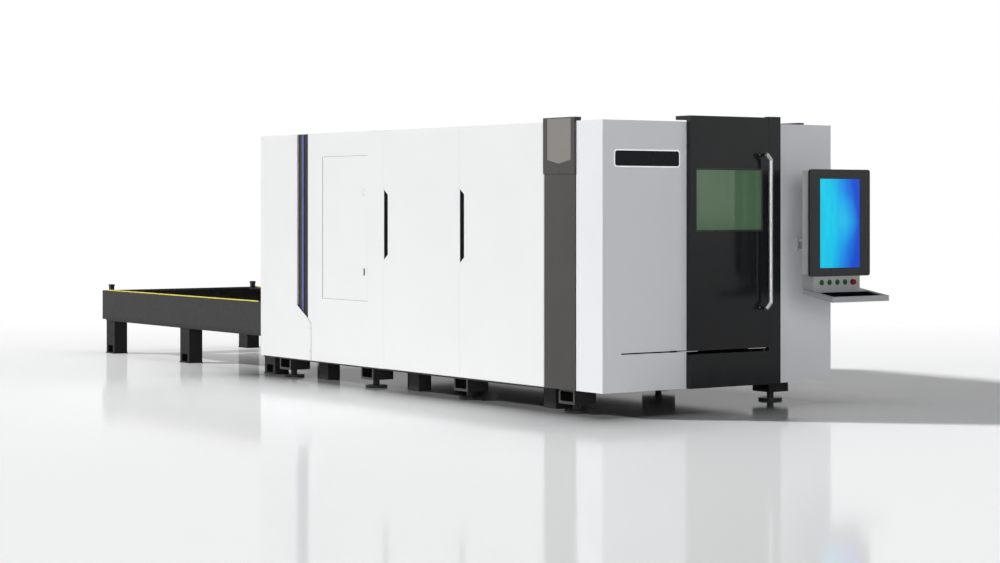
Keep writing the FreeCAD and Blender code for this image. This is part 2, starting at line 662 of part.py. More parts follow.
def front_door():
    """Folded panel open at the back, with its slide bar and the hood that laps over the roof."""
    made = body("door_panel")
    deep = "door_proud - door_clear"
    pad(made, "XZ", [rectangle(across("door_left"), across("door_right"), "door_low",
                               "door_high")], along("-door_proud"), deep)
    pocket(made, "XZ", [rectangle(across("door_left + skin"), across("door_right - skin"),
                                  "door_low + skin", "door_high - skin")],
           along("-door_proud + skin"), f"{deep} - skin")
    glass = rectangle(across("window_left"), across("window_right"), "window_low", "window_high")
    pocket(made, "XZ", [glass], along("-door_proud"), "skin")
    pad(made, "XZ", [rectangle(across("door_left + skin"), across("door_right - skin"),
                               "bar_low", "bar_high")],
        along("-door_proud + skin"), "bar_depth")
    pad(made, "XZ", [rectangle(across("door_left"), across("door_right"), "door_high",
                               "hood_top")], along("-door_proud"), "door_proud + hood_rear")
    pocket(made, "XZ", [rectangle(across("door_left + skin"), across("door_right - skin"),
                                  "door_high", "hood_top - skin")],
           along("-door_clear"), "hood_rear + door_clear - skin")
    window = body("door_window")
    pad(window, "XZ", [glass], along("-door_proud + glass_inset"), "glass_thick")
    guides = body("door_guides")
    for place in ("guide_first", "guide_second"):
        end = across(f"{place} + guide_long")
        pad(guides, "XZ", [rectangle(across(place), end, "door_low - guide_thick", "door_low")],
            along("-guide_front"), "guide_front - door_clear")
        pad(guides, "XZ", [rectangle(across(f"{place} + guide_tongue"), end,
                                     "door_low - guide_thick", "door_low")],
            along("-door_clear"), "door_clear + guide_rear")


def door_handle():
    """Round bar parallel to the door, its two ends cranked inwards, on two stand-offs."""
    face = FRONT_NUMBER - size("door_proud")
    line_x = size("handle_line") - size("cell_width") / 2
    line_y = face - size("handle_reach")
    slope, top, bottom = size("handle_slope"), size("handle_top"), size("handle_bottom")
    tip_x = line_x - slope
    points = [FreeCAD.Vector(tip_x, line_y, top), FreeCAD.Vector(line_x, line_y, top - slope),
              FreeCAD.Vector(line_x, line_y, bottom + slope),
              FreeCAD.Vector(tip_x, line_y, bottom)]
    ring = Part.Circle(points[0], points[1] - points[0], size("handle_radius"))
    mitred = 1
    bar = Part.makePolygon(points).makePipeShell([Part.Wire(ring.toShape())], True, False, mitred)
    inset = size("stand_in")
    stands = [Part.makeCylinder(size("stand_radius"), size("handle_reach"),
                                FreeCAD.Vector(tip_x + inset, face, level),
                                FreeCAD.Vector(0, -1, 0))
              for level in (top - inset, bottom + inset)]
    made = document.addObject("Part::Feature", "door_handle")
    made.Shape = bar.fuse(stands)
    made.Label = "door_handle"
    sub_parts.append(made)


# ---- bed, feet and ways ----

def bed_frame():
    tubes = []
    for row in FOOT_ROWS:
        tubes.append(box(across("cross_end"), across("cell_width - cross_end"),
                         along(f"{row} - cross_width / 2"), along(f"{row} + cross_width / 2"),
                         "cross_low", "beam_low"))
    for leg in BED_LEGS:
        tubes.append(box(lane("-(beam_inner + beam_width)"), lane("beam_inner + beam_width"),
                         along(leg), along(f"{leg} + leg_long"), "cross_low", "beam_low"))
    for inner, outer, tip in (("-beam_inner", "-(beam_inner + beam_width)",
                               "-(beam_inner - ledge_reach)"),
                              ("beam_inner", "beam_inner + beam_width",
                               "beam_inner - ledge_reach")):
        low, high = (outer, inner) if inner.startswith("-") else (inner, outer)
        tubes.append(box(lane(low), lane(high), along("beam_front"), along("beam_rear"),
                         "beam_low", "beam_high"))
        low, high = (inner, tip) if inner.startswith("-") else (tip, inner)
        for level in ("upper_ledge", "lower_ledge"):
            tubes.append(box(lane(low), lane(high), along("ledge_front"), along("ledge_rear"),
                             f"{level} - ledge_thick", level))
    edge = "beam_inner + beam_width"
    tubes.append(box(lane(f"-({edge})"), lane(edge), along("deck_front"), along("deck_rear"),
                     "beam_high", "deck_high"))
    group("bed_frame", tubes + [stub_tubes(), bed_legs()])


def stub_tubes():
    """Short open tubes across the bed, one over each levelling foot."""
    tubes = weldment("stub_tubes")
    for place in ("tube_near", "tube_far"):
        loops = []
        for row in FOOT_ROWS:
            loops.append(rectangle(along(f"{row} - cross_width / 2"),
                                   along(f"{row} + cross_width / 2"), "tube_low", "cross_low"))
            loops.append(rectangle(along(f"{row} - cross_width / 2 + tube_wall"),
                                   along(f"{row} + cross_width / 2 - tube_wall"),
                                   "tube_low + tube_wall", "cross_low - tube_wall"))
        pad(tubes, "YZ", loops, across(place), "tube_long")
    return tubes


def bed_legs():
    """Plain legs to the floor: three on the near side, two on the far side."""
    legs = weldment("bed_legs")
    for low, rows in (("-(leg_inner + leg_width)", BED_LEGS), ("leg_inner", BED_LEGS[1:])):
        loops = [rectangle(along(leg), along(f"{leg} + leg_long"), "0", "cross_low")
                 for leg in rows]
        pad(legs, "YZ", loops, lane(low), "leg_width")
    return legs


def feet():
    """Round pad, spindle and hexagon lock nut under each stub tube."""
    pieces = []
    spindle_high = "tube_low - nut_height"
    for place in ("foot_near", "foot_far"):
        for row in FOOT_ROWS:
            x, y = across(place), along(row)
            pieces.append(prism(24, "pad_radius", "pad_height", x, y, "0"))
            pieces.append(prism(12, "spindle_radius", f"{spindle_high} - pad_height", x, y,
                                "pad_height"))
            pieces.append(prism(6, "nut_radius", "nut_height", x, y, spindle_high))
    group("levelling_feet", pieces)


def gantry_ways():
    """Guide rail and rack on top of each side beam."""
    bars = []
    for sign in ("-", ""):
        middle = f"{sign}way_middle"
        rack = f"({middle} + {sign or '+'}rack_out)"
        bars.append(box(lane(f"{middle} - way_width / 2"), lane(f"{middle} + way_width / 2"),
                        along("way_front"), along("way_rear"), "beam_high",
                        "beam_high + way_height"))
        bars.append(box(lane(f"{rack} - rack_width / 2"), lane(f"{rack} + rack_width / 2"),
                        along("way_front"), along("way_rear"), "beam_high",
                        "beam_high + rack_height"))
    group("gantry_ways", bars)


# ---- gantry, carriage and cutting head ----

def gantry():
    trucks = body("gantry_trucks")
    front = along("gantry - truck_half")
    for sign in ("-", ""):
        middle = f"{sign}way_middle"
        plate = rectangle(lane(f"{middle} - truck_width / 2"), lane(f"{middle} + truck_width / 2"),
                          "truck_low", "truck_high")
        shoe = rectangle(lane(f"{middle} - shoe_width / 2"), lane(f"{middle} + shoe_width / 2"),
                         "shoe_low", "truck_low")
        groove = rectangle(lane(f"{middle} - way_width / 2 - shoe_play"),
                           lane(f"{middle} + way_width / 2 + shoe_play"),
                           "shoe_low", "beam_high + way_height + shoe_play")
        pad(trucks, "XZ", [plate], front, "2 * truck_half")
        pad(trucks, "XZ", [shoe], front, "2 * truck_half")
        pocket(trucks, "XZ", [groove], front, "2 * truck_half")
        pad(trucks, "XY", [regular(lane(f"{sign}motor_in"), along("gantry + motor_back"),
                                   "motor_radius", 16)],
            "truck_high", "motor_high - truck_high")
    girder = body("gantry_girder")
    section = rectangle(along("gantry - girder_front"), along("gantry + girder_rear"),
                        "truck_high", "girder_high")
    hollow = rectangle(along("gantry - girder_front + girder_wall"),
                       along("gantry + girder_rear - girder_wall"),
                       "truck_high + girder_wall", "girder_high - girder_wall")
    pad(girder, "YZ", [section, hollow], lane("-girder_end"), "2 * girder_end")
    for level in ("cross_way_1", "cross_way_2"):
        pad(girder, "XZ", [rectangle(lane("-girder_end"), lane("girder_end"), level,
                                     f"{level} + cross_way_width")],
            along("gantry - girder_front - cross_way_depth"), "cross_way_depth")


def carriage_and_head():
    made = body("cross_carriage")
    face = "gantry - girder_front - 2"
    pad(made, "XZ", [rectangle(lane("-carriage_half"), lane("carriage_half"), "carriage_low",
                               "carriage_high")],
        along(f"{face} - carriage_thick"), "carriage_thick")
    for level in ("cross_way_1", "cross_way_2"):
        pocket(made, "XZ", [rectangle(lane("-carriage_half"), lane("carriage_half"),
                                      f"{level} - shoe_play",
                                      f"{level} + cross_way_width + shoe_play")],
               along(f"{face} - cross_way_depth"), "cross_way_depth")
    tower = f"{face} - carriage_thick - tower_thick"
    pad(made, "XZ", [rectangle(lane("-tower_half"), lane("tower_half"), "tower_low",
                               "tower_high")], along(tower), "tower_thick")
    pad(made, "XY", [rectangle(lane("-lift_motor_half"), lane("lift_motor_half"),
                               along(f"{tower} - 2 * lift_motor_half + tower_thick"),
                               along(f"{tower} + tower_thick"))],
        "tower_high", "lift_motor_high - tower_high")
    head = body("cutting_head")
    plate = f"{tower} - head_gap - head_plate"
    pad(head, "XZ", [rectangle(lane("-head_plate_half"), lane("head_plate_half"),
                               "head_plate_low", "head_plate_high")], along(plate), "head_plate")
    axis_y = along(f"{tower} - head_gap - head_axis")
    profile = [("0", "tip_low"), ("tip_radius", "tip_low"), ("collar_radius", "collar_low"),
               ("collar_radius", "head_low"), ("head_radius", "head_low"),
               ("head_radius", "head_plate_high"), ("0", "head_plate_high")]
    spin(head, "XZ", profile, axis_y, (lane("0"), "0"))


# ---- laser source, cabinet and pallet drive ----

def power_units():
    source = body("laser_source")
    pad(source, "XY", [rectangle(across("source_left"), across("source_right"),
                                 along("source_front"), along("source_rear"))],
        "deck_high", "source_high - deck_high")
    pocket(source, "XZ", [rectangle(across("source_left + cabinet_border"),
                                    across("source_right - cabinet_border"),
                                    "deck_high + cabinet_border", "source_high - cabinet_border")],
           along("source_front"), "source_lip")
    cabinet = body("electrical_cabinet")
    pad(cabinet, "XY", [rectangle(across("cabinet_left"), across("cabinet_right"),
                                  along("source_front"), along("cabinet_rear"))],
        "deck_high", "cabinet_high - deck_high")
    def leaf(inset):
        return rectangle(across(f"cabinet_left + cabinet_border + {inset}"),
                         across(f"cabinet_right - cabinet_border - {inset}"),
                         f"deck_high + cabinet_border + {inset}",
                         f"cabinet_high - cabinet_border - {inset}")
    pocket(cabinet, "XZ", [leaf("0"), leaf("cabinet_line")], along("source_front"),
           "cabinet_line")
    drive = body("exchange_drive")
    pad(drive, "YZ", [rectangle(along("drive_front"), along("drive_front + drive_case_long"),
                                "drive_low", "lower_ledge - ledge_thick")],
        lane("-drive_case_half"), "2 * drive_case_half")
    pad(drive, "YZ", [regular(along("drive_front + drive_case_long / 2"),
                              "drive_low + drive_radius + 5", "drive_radius", 16)],
        lane("drive_case_half"), "drive_motor_long")
    pad(drive, "XY", [rectangle(lane("-beam_inner"), lane("beam_inner"),
                                along("drive_front"), along("drive_front + drive_plate"))],
        "drive_low", "drive_radius")


# ---- exchange table ----

def table_skirt(left):
    made = weldment("skirt")
    rear = "cell_length + table_length"
    edge = [(along("table_front"), "skirt_low"), (along(f"{rear} - skirt_notch"), "skirt_low"),
            (along(f"{rear} - skirt_notch + 14"), "skirt_notch_high"),
            (along(rear), "skirt_notch_high"), (along(rear), "skirt_high"),
            (along("table_front"), "skirt_high")]
    pad(made, "YZ", [edge], lane(left), "skirt_thick")
    return made


def table_frame():
    inside = "table_half - skirt_thick"
    rear = "cell_length + table_length"
    pieces = [table_skirt("-table_half"), table_skirt(inside)]
    pieces.append(box(lane(f"-({inside})"), lane(inside), along(f"{rear} - skirt_thick"),
                      along(rear), "skirt_notch_high", "skirt_high"))
    for leg in TABLE_LEGS:
        pieces.append(box(lane(f"-({inside})"), lane(inside), along(leg),
                          along(f"{leg} + tie_width"), "skirt_low", "tie_high"))
    tip = "beam_inner - ledge_reach"
    for low, high in ((f"-({inside})", f"-({tip})"), (tip, inside)):
        for level in ("upper_ledge", "lower_ledge"):
            pieces.append(box(lane(low), lane(high), along("table_front"),
                              along(f"{rear} - skirt_thick"), f"{level} - ledge_thick", level))
    group("table_frame", pieces + [table_legs()])


def table_legs():
    """Square posts on foot plates, with a window at the foot of the outer face."""
    made = weldment("table_legs")
    for low, window in (("-table_leg_out", "-table_leg_out"),
                        ("table_leg_out - table_leg_width", "table_leg_out - leg_window_deep")):
        posts = [rectangle(along(leg), along(f"{leg} + table_leg_long"), "leg_plate", "skirt_low")
                 for leg in TABLE_LEGS]
        plates = [rectangle(along(f"{leg} - leg_plate_out"),
                            along(f"{leg} + table_leg_long + leg_plate_out"), "0", "leg_plate")
                  for leg in TABLE_LEGS]
        windows = [rectangle(along(f"{leg} + (table_leg_long - leg_window) / 2"),
                             along(f"{leg} + (table_leg_long + leg_window) / 2"),
                             "leg_window_low", "leg_window_high") for leg in TABLE_LEGS]
        pad(made, "YZ", posts, lane(low), "table_leg_width")
        pad(made, "YZ", plates, lane(f"{low} - leg_plate_out"),
            "table_leg_width + 2 * leg_plate_out")
        pocket(made, "YZ", windows, lane(window), "leg_window_deep")
    return made


def table_trim():
    strips = []
    for low in ("-table_half + stripe_in", "table_half - stripe_in - stripe_width"):
        strips.append(box(lane(low), lane(f"{low} + stripe_width"), along("stripe_front"),
                          along("stripe_rear"), "skirt_high", "stripe_high"))
    group("table_stripes", strips)
    made = body("corner_bollards")
    for low in ("-(table_half - bollard_in)", "table_half - bollard_in - bollard_side"):
        far = f"{low} + bollard_side"
        rear = "bollard_front + bollard_side"
        pad(made, "XY", [rectangle(lane(f"{low} + bollard_neck"), lane(f"{far} - bollard_neck"),
                                   along("bollard_front + bollard_neck"),
                                   along(f"{rear} - bollard_neck"))],
            "skirt_high", "bollard_high - bollard_cap - skirt_high")
        pad(made, "XY", [rectangle(lane(low), lane(far), along("bollard_front"), along(rear))],
            "bollard_high - bollard_cap", "bollard_cap")


# ---- pallets ----

def pallet(name, place, drop):
    """Frame on two wheel sets, with toothed slats; drop lowers it from the upper ledge."""
    base = f"upper_ledge - {drop}"
    frame = body(f"{name}_frame")
    low, high = f"{base} + rail_rise", "rail_height"
    front, rear = along(place), along(f"{place} + pallet_long")
    pad(frame, "XY", [rectangle(lane("-pallet_half"), lane("pallet_half"), front, rear),
                      rectangle(lane("-(pallet_half - rail_width)"),
                                lane("pallet_half - rail_width"),
                                along(f"{place} + rail_width"),
                                along(f"{place} + pallet_long - rail_width"))], low, high)
    axle_level = f"{base} + wheel_radius"
    spots = {"front": f"({place} + wheel_inset)",
             "rear": f"({place} + pallet_long - wheel_inset)"}
    for inner in ("-(pallet_half - rail_width + hanger_thick)", "(pallet_half - rail_width)"):
        loops = []
        for spot in spots.values():
            loops.append(rectangle(along(f"{spot} - hanger_half"), along(f"{spot} + hanger_half"),
                                   f"{axle_level} - hanger_drop", f"{low}"))
            loops.append(around(along(spot), axle_level, "axle_radius + axle_play", 12))
        pad(frame, "YZ", loops, lane(inner), "hanger_thick")
    for end, spot in spots.items():
        reach = "(pallet_half - wheel_in)"
        y = along(spot)
        wheels = [prism(32, "wheel_radius", "wheel_width", lane(side), y, axle_level, True)
                  for side in (f"-{reach}", f"{reach} - wheel_width")]
        axle = prism(16, "axle_radius", f"2 * {reach} - 2 * wheel_width",
                     lane(f"-{reach} + wheel_width"), y, axle_level, True)
        fusion(f"{name}_wheels_{end}", wheels + [axle])
    slats = body(f"{name}_slats")
    width = "(2 * (pallet_half - rail_width))"
    left = "-(pallet_half - rail_width)"
    teeth = [(lane(left), f"{base} + slat_rise"), (lane(f"{left} + {width}"), f"{base} + slat_rise")]
    for i in range(SIZES["tooth_count"], 0, -1):
        teeth.append((lane(f"{left} + {width} * {i} / tooth_count"), f"{base} + slat_valley"))
        teeth.append((lane(f"{left} + {width} * ({i} - 0.5) / tooth_count"), f"{base} + slat_tip"))
    teeth.append((lane(left), f"{base} + slat_valley"))
    first = pad(slats, "XZ", [teeth], along(f"{place} + slat_first"), "slat_thick")
    row = slats.newObject("PartDesign::LinearPattern", "row")
    row.Originals = [first]
    row.Direction = (origin_of(slats, "Y_Axis"), [""])
    row.setExpression("Length", bound("pallet_long - 2 * slat_first"))
    row.Occurrences = SIZES["slat_count"]
    slats.Tip = row


# ---- operator console ----

def console_arm():
    bracket = body("console_bracket")
    middle = "arm_middle"
    pad(bracket, "XZ", [rectangle(across(f"{middle} - bracket_half"),
                                  across(f"{middle} + bracket_half"), "bracket_low",
                                  "bracket_high")], along("-bracket_depth"), "bracket_depth")
    for low in ("arm_level - arm_half_high - lug_height", "arm_level + arm_half_high + 0.5"):
        pad(bracket, "XY", [rectangle(across(f"{middle} - pivot_radius"),
                                      across(f"{middle} + pivot_radius"), along("-pivot_out"),
                                      along("-bracket_depth"))], low, "lug_height - 0.5")
        pad(bracket, "XY", [regular(across(middle), along("-pivot_out"), "pivot_radius", 16)],
            low, "lug_height - 0.5")
    pad(bracket, "XY", [regular(across(middle), along("-pivot_out"), "pin_radius", 16)],
        "arm_level - arm_half_high - lug_height", "2 * (arm_half_high + lug_height)")
    arm = body("console_arm")
    low, height = "arm_level - arm_half_high", "2 * arm_half_high"
    pad(arm, "XY", [rectangle(across(f"{middle} - arm_half_wide"),
                              across(f"{middle} + arm_half_wide"), along("-swivel_out"),
                              along("-pivot_out"))], low, height)
    for place in ("-pivot_out", "-swivel_out"):
        pad(arm, "XY", [regular(across(middle), along(place), "pivot_radius", 16)], low, height)
    bores = [around(across(middle), along(place), "pin_radius + pin_play", 16)
             for place in ("-pivot_out", "-swivel_out")]
    pocket(arm, "XY", bores, low, height)


def console_case():
    housing = body("console_housing")
    pad(housing, "XZ", [rectangle(across("housing_left"), across("housing_right"), "housing_low",
                                  "housing_high")],
        along("-housing_front"), "housing_front - housing_rear")
    rear = FRONT_NUMBER - size("housing_rear")
    bevel(housing, "housing_round", lambda edge: edge.BoundBox.YMin > rear - 0.1)
    for low in ("arm_level - arm_half_high - lug_height", "arm_level + arm_half_high + 0.5"):
        pad(housing, "XY", [rectangle(across("arm_middle - pivot_radius"),
                                      across("arm_middle + pivot_radius"),
                                      along("-housing_rear"), along("-swivel_out"))],
            low, "lug_height - 0.5")
        pad(housing, "XY", [regular(across("arm_middle"), along("-swivel_out"),
                                    "pivot_radius", 16)], low, "lug_height - 0.5")
    pad(housing, "XY", [regular(across("arm_middle"), along("-swivel_out"), "pin_radius", 16)],
        "arm_level - arm_half_high - lug_height", "2 * (arm_half_high + lug_height)")
    bezel = body("screen_bezel")
    pad(bezel, "XZ", [rectangle(across("bezel_left"), across("bezel_right"), "bezel_low",
                                "bezel_high")],
        along("-bezel_front"), "bezel_front - housing_front")
    depth_axis = FreeCAD.Vector(0, 1, 0)
    soften(bezel, "bezel_round", lambda edge: parallel(edge, depth_axis))
    glass = rectangle(across("screen_left"), across("screen_right"), "screen_low", "screen_high")
    pocket(bezel, "XZ", [glass], along("-bezel_front"), "2 * bezel_recess")
    screen = body("screen")
    pad(screen, "XZ", [glass], along("-bezel_front + bezel_recess / 2"), "bezel_recess")


def tray_level(out, drop):
    """Height of the sloping tray's top, less drop, at a distance in front of the wall."""
    return f"tray_top - tray_fall * ({out} - tray_rear) / (console_reach - tray_rear) - {drop}"


def control_box():
    made = body("control_box")
    side = [(along("-panel_rear"), "housing_low"), (along("-housing_front"), "housing_low"),
            (along("-housing_front"), "bezel_low"), (along("-panel_front"), "bezel_low"),
            (along("-panel_front"), tray_level("panel_front", "0")),
            (along("-panel_rear"), tray_level("panel_rear", "0"))]
    pad(made, "YZ", [side], across("panel_left"), "panel_right - panel_left")
    spots = [across(f"button_first + {i} * button_pitch") for i in range(4)]
    stop = across("stop_place")
    bores = [circle(x, "button_level", "button_radius + pin_play") for x in spots]
    bores.append(circle(stop, "button_level", "stop_stem + pin_play"))
    pocket(made, "XZ", bores, along("-panel_front"), "button_deep + button_proud")
    for i, x in enumerate(spots, start=1):
        cap = body(f"push_button_{i}")
        pad(cap, "XZ", [regular(x, "button_level", "button_radius", 24)],
            along("-panel_front - button_proud"), "button_deep + button_proud")
    mushroom = body("emergency_stop")
    pad(mushroom, "XZ", [regular(stop, "button_level", "stop_radius", 24)],
        along("-panel_front - stop_proud"), "stop_thick")
    pad(mushroom, "XZ", [regular(stop, "button_level", "stop_stem", 16)],
        along("-panel_front - stop_proud + stop_thick"),
        "stop_proud - stop_thick + button_deep")


def console_tray():
    made = body("console_tray")
    rear, front = "tray_rear", "console_reach"
    def slab(out_rear, out_front, drop, thick):
        return [(along(f"-({out_rear})"), tray_level(out_rear, drop)),
                (along(f"-({out_front})"), tray_level(out_front, drop)),
                (along(f"-({out_front})"), tray_level(out_front, f"({drop} + {thick})")),
                (along(f"-({out_rear})"), tray_level(out_rear, f"({drop} + {thick})"))]
    pad(made, "YZ", [slab(rear, front, "0", "tray_thick")], across("tray_left"),
        "tray_right - tray_left")
    pocket(made, "YZ", [slab("(panel_front + 3)", f"({front} - tray_rim / 2)", "-5",
                             "(tray_sink + 5)")],
           across("tray_left + tray_rim"), "tray_right - tray_left - 2 * tray_rim")
    keys = body("keyboard")
    pad(keys, "YZ", [slab("keys_rear", "keys_front", "(tray_sink - keys_thick)", "keys_thick")],
        across("keys_left"), "keys_right - keys_left")


FRONT_NUMBER = -(size("cell_length") + size("table_length") - size("console_reach")) / 2

cell_frame()
roof()
front_wall()
rear_wall()
columns()
column_masks()
mask_inserts()
side_panels()
rear_covers()
light_channels()
service_doors()
access_door()
door_surround()
front_door()
door_handle()
bed_frame()
feet()
gantry_ways()
gantry()
carriage_and_head()
power_units()
table_frame()
table_trim()
pallet("upper_pallet", "pallet_in_table", "0")
pallet("lower_pallet", "pallet_in_bed", "level_gap")
console_arm()
console_case()
control_box()
console_tray()
document.recompute()

# ---- every feature is sound, every cut takes something away ----
for item in document.Objects:
    if {"Invalid", "Error"} & set(item.State):
        raise RuntimeError(f"{item.Label} failed: {item.State}")
    if item.TypeId == "PartDesign::Pocket" and item.BaseFeature:
        if item.Shape.Volume > item.BaseFeature.Shape.Volume - 1:
            raise RuntimeError(f"{item.Label} in {item.getParent()} cuts nothing")
os.makedirs("parts", exist_ok=True)
for sub_part in sub_parts:
    if sub_part.Shape.isNull() or not sub_part.Shape.isValid():
        raise RuntimeError(f"{sub_part.Label} has no valid shape")
    sub_part.Shape.exportStep(f"parts/{sub_part.Label}.step")
print(len(sub_parts), "sub-parts written")
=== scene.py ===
import json
import math

import bmesh
import bpy
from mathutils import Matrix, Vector

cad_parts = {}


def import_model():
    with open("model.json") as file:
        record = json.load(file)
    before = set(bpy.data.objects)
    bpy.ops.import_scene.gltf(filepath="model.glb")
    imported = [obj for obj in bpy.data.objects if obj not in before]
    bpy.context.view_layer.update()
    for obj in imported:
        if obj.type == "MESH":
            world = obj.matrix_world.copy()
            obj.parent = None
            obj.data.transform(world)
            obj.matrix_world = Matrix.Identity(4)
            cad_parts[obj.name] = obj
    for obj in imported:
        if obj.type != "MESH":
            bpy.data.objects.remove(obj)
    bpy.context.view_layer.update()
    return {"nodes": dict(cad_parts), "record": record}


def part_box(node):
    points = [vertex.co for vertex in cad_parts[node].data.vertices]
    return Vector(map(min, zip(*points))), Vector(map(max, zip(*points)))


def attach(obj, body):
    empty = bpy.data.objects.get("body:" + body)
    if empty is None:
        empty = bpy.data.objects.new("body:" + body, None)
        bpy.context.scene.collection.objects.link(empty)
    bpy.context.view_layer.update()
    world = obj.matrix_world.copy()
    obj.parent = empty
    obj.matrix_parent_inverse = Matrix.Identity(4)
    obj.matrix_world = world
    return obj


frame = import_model()

# The closed cell's left side wall and front wall in the frame, in metres
LEFT, FRONT = -1.145, -4.0365
# Distances in millimetres from the cell's left front corner
WIDTH, LENGTH = 2290, 5148
LANE = 981                            # middle of the pallets and of the gantry's span
TUBE_ROWS = 479, 1903, 3335, 4752     # the bed's stub tubes, with their levelling feet
TABLE_LEG_ROWS = 5096, 6821, 8523     # front faces of the exchange table's legs
CONTROLS_FRONT, CONTROLS_LEVEL = -480, 977    # face and row of the console's buttons

TO_FRONT, TO_REAR, TO_RIGHT, UPWARDS = (0, -1, 0), (0, 1, 0), (1, 0, 0), (0, 0, 1)
WHITE = (1, 1, 1, 1)


def place(right, back, up):
    """A point given in millimetres from the cell's left front corner at floor level."""
    return Vector((LEFT + right / 1000, FRONT + back / 1000, up / 1000))


def spaced(start, end, count):
    """Evenly spaced values from start to end, both included."""
    return [start + i * (end - start) / (count - 1) for i in range(count)]


# ------------------------------------------------------------------ shader nodes

# Vector Math operations whose result is a number
MEASURES = ("DISTANCE", "DOT_PRODUCT", "LENGTH")


def new_material(name):
    """A new material with its nodes, their links and its shader."""
    made = bpy.data.materials.new(name)
    made.use_nodes = True
    nodes, links = made.node_tree.nodes, made.node_tree.links
    return made, nodes, links, nodes["Principled BSDF"]


def feed(links, socket, value):
    """Link another node's output to the socket, or set a constant on it."""
    if isinstance(value, bpy.types.NodeSocket):
        links.new(value, socket)
    else:
        socket.default_value = value


def calculate(nodes, links, operation, *values):
    """Result of a Math node."""
    made = nodes.new("ShaderNodeMath")
    made.operation = operation
    for socket, value in zip(made.inputs, values):
        feed(links, socket, value)
    return made.outputs["Value"]


def vector_step(nodes, links, operation, source, other=(0, 0, 0)):
    """Result of a Vector Math node on a linked vector and a constant one."""
    made = nodes.new("ShaderNodeVectorMath")
    made.operation = operation
    links.new(source, made.inputs[0])
    made.inputs[1].default_value = other
    return made.outputs["Value" if operation in MEASURES else "Vector"]


def dimmed(nodes, links, colour, share):
    """The linked colour times a linked share."""
    made = nodes.new("ShaderNodeVectorMath")
    made.operation = "SCALE"
    links.new(colour, made.inputs[0])
    links.new(share, made.inputs["Scale"])
    return made.outputs["Vector"]


def mixed_colours(nodes, links, factor, first, second, blend="MIX"):
    """Mix of two colours, each a node's output or plain red, green and blue."""
    made = nodes.new("ShaderNodeMix")
    made.data_type = "RGBA"
    made.blend_type = blend
    links.new(factor, made.inputs["Factor"])
    for key, colour in (("A", first), ("B", second)):
        feed(links, made.inputs[key], (*colour, 1) if isinstance(colour, tuple) else colour)
    return made.outputs["Result"]


def mixed_shaders(nodes, links, factor, first, second):
    """Mix of two shaders by a constant or linked factor."""
    made = nodes.new("ShaderNodeMixShader")
    feed(links, made.inputs["Fac"], factor)
    links.new(first, made.inputs[1])
    links.new(second, made.inputs[2])
    return made.outputs["Shader"]


def object_point(nodes):
    """The shaded point in the object's own coordinates."""
    return nodes.new("ShaderNodeTexCoord").outputs["Object"]


def split_axes(nodes, links, source):
    """Outputs X, Y and Z of a vector."""
    made = nodes.new("ShaderNodeSeparateXYZ")
    links.new(source, made.inputs["Vector"])
    return made.outputs


def scaled_point(nodes, links, scale, shift=(0, 0, 0)):
    """The object's own coordinates, scaled along each axis and then moved."""
    made = nodes.new("ShaderNodeMapping")
    made.inputs["Scale"].default_value = scale
    made.inputs["Location"].default_value = shift
    links.new(object_point(nodes), made.inputs["Vector"])
    return made.outputs["Vector"]


def noise(nodes, links, scale, detail=3.0, roughness=0.5, stretch=None):
    """Noise in the object's own coordinates, finer along the axes that stretch scales up."""
    made = nodes.new("ShaderNodeTexNoise")
    made.inputs["Scale"].default_value = scale
    made.inputs["Detail"].default_value = detail
    made.inputs["Roughness"].default_value = roughness
    source = scaled_point(nodes, links, stretch) if stretch else object_point(nodes)
    links.new(source, made.inputs["Vector"])
    return made.outputs["Fac"]


def remap(nodes, links, source, low, high, start=0.3, end=0.7):
    """The source's range from start to end turned into low to high, and held outside it."""
    made = nodes.new("ShaderNodeMapRange")
    made.inputs["From Min"].default_value = start
    made.inputs["From Max"].default_value = end
    made.inputs["To Min"].default_value = low
    made.inputs["To Max"].default_value = high
    links.new(source, made.inputs["Value"])
    return made.outputs["Result"]


def bump(nodes, links, shader, height, distance, strength=0.4):
    """Fine relief on the shader, distance metres deep."""
    made = nodes.new("ShaderNodeBump")
    made.inputs["Strength"].default_value = strength
    made.inputs["Distance"].default_value = distance
    links.new(height, made.inputs["Height"])
    links.new(made.outputs["Normal"], shader.inputs["Normal"])


# ------------------------------------------------------------------ materials

# Pointiness of slightly and of clearly rubbed edges, and how much paler these are
RUBBED_FROM, RUBBED_TO = 0.53, 0.62
RUBBED_TONE = 1.8
# Patches of gloss are this much finer than those of colour
GLOSS_FINENESS = 9
# Painted shade low down fades in over the top of its height, from this share up
FOOT_FADE = 0.8


def shade(colour, factor):
    """The plain colour, lighter or darker by the factor."""
    return tuple(max(0.0, min(1.0, c * factor)) for c in colour)


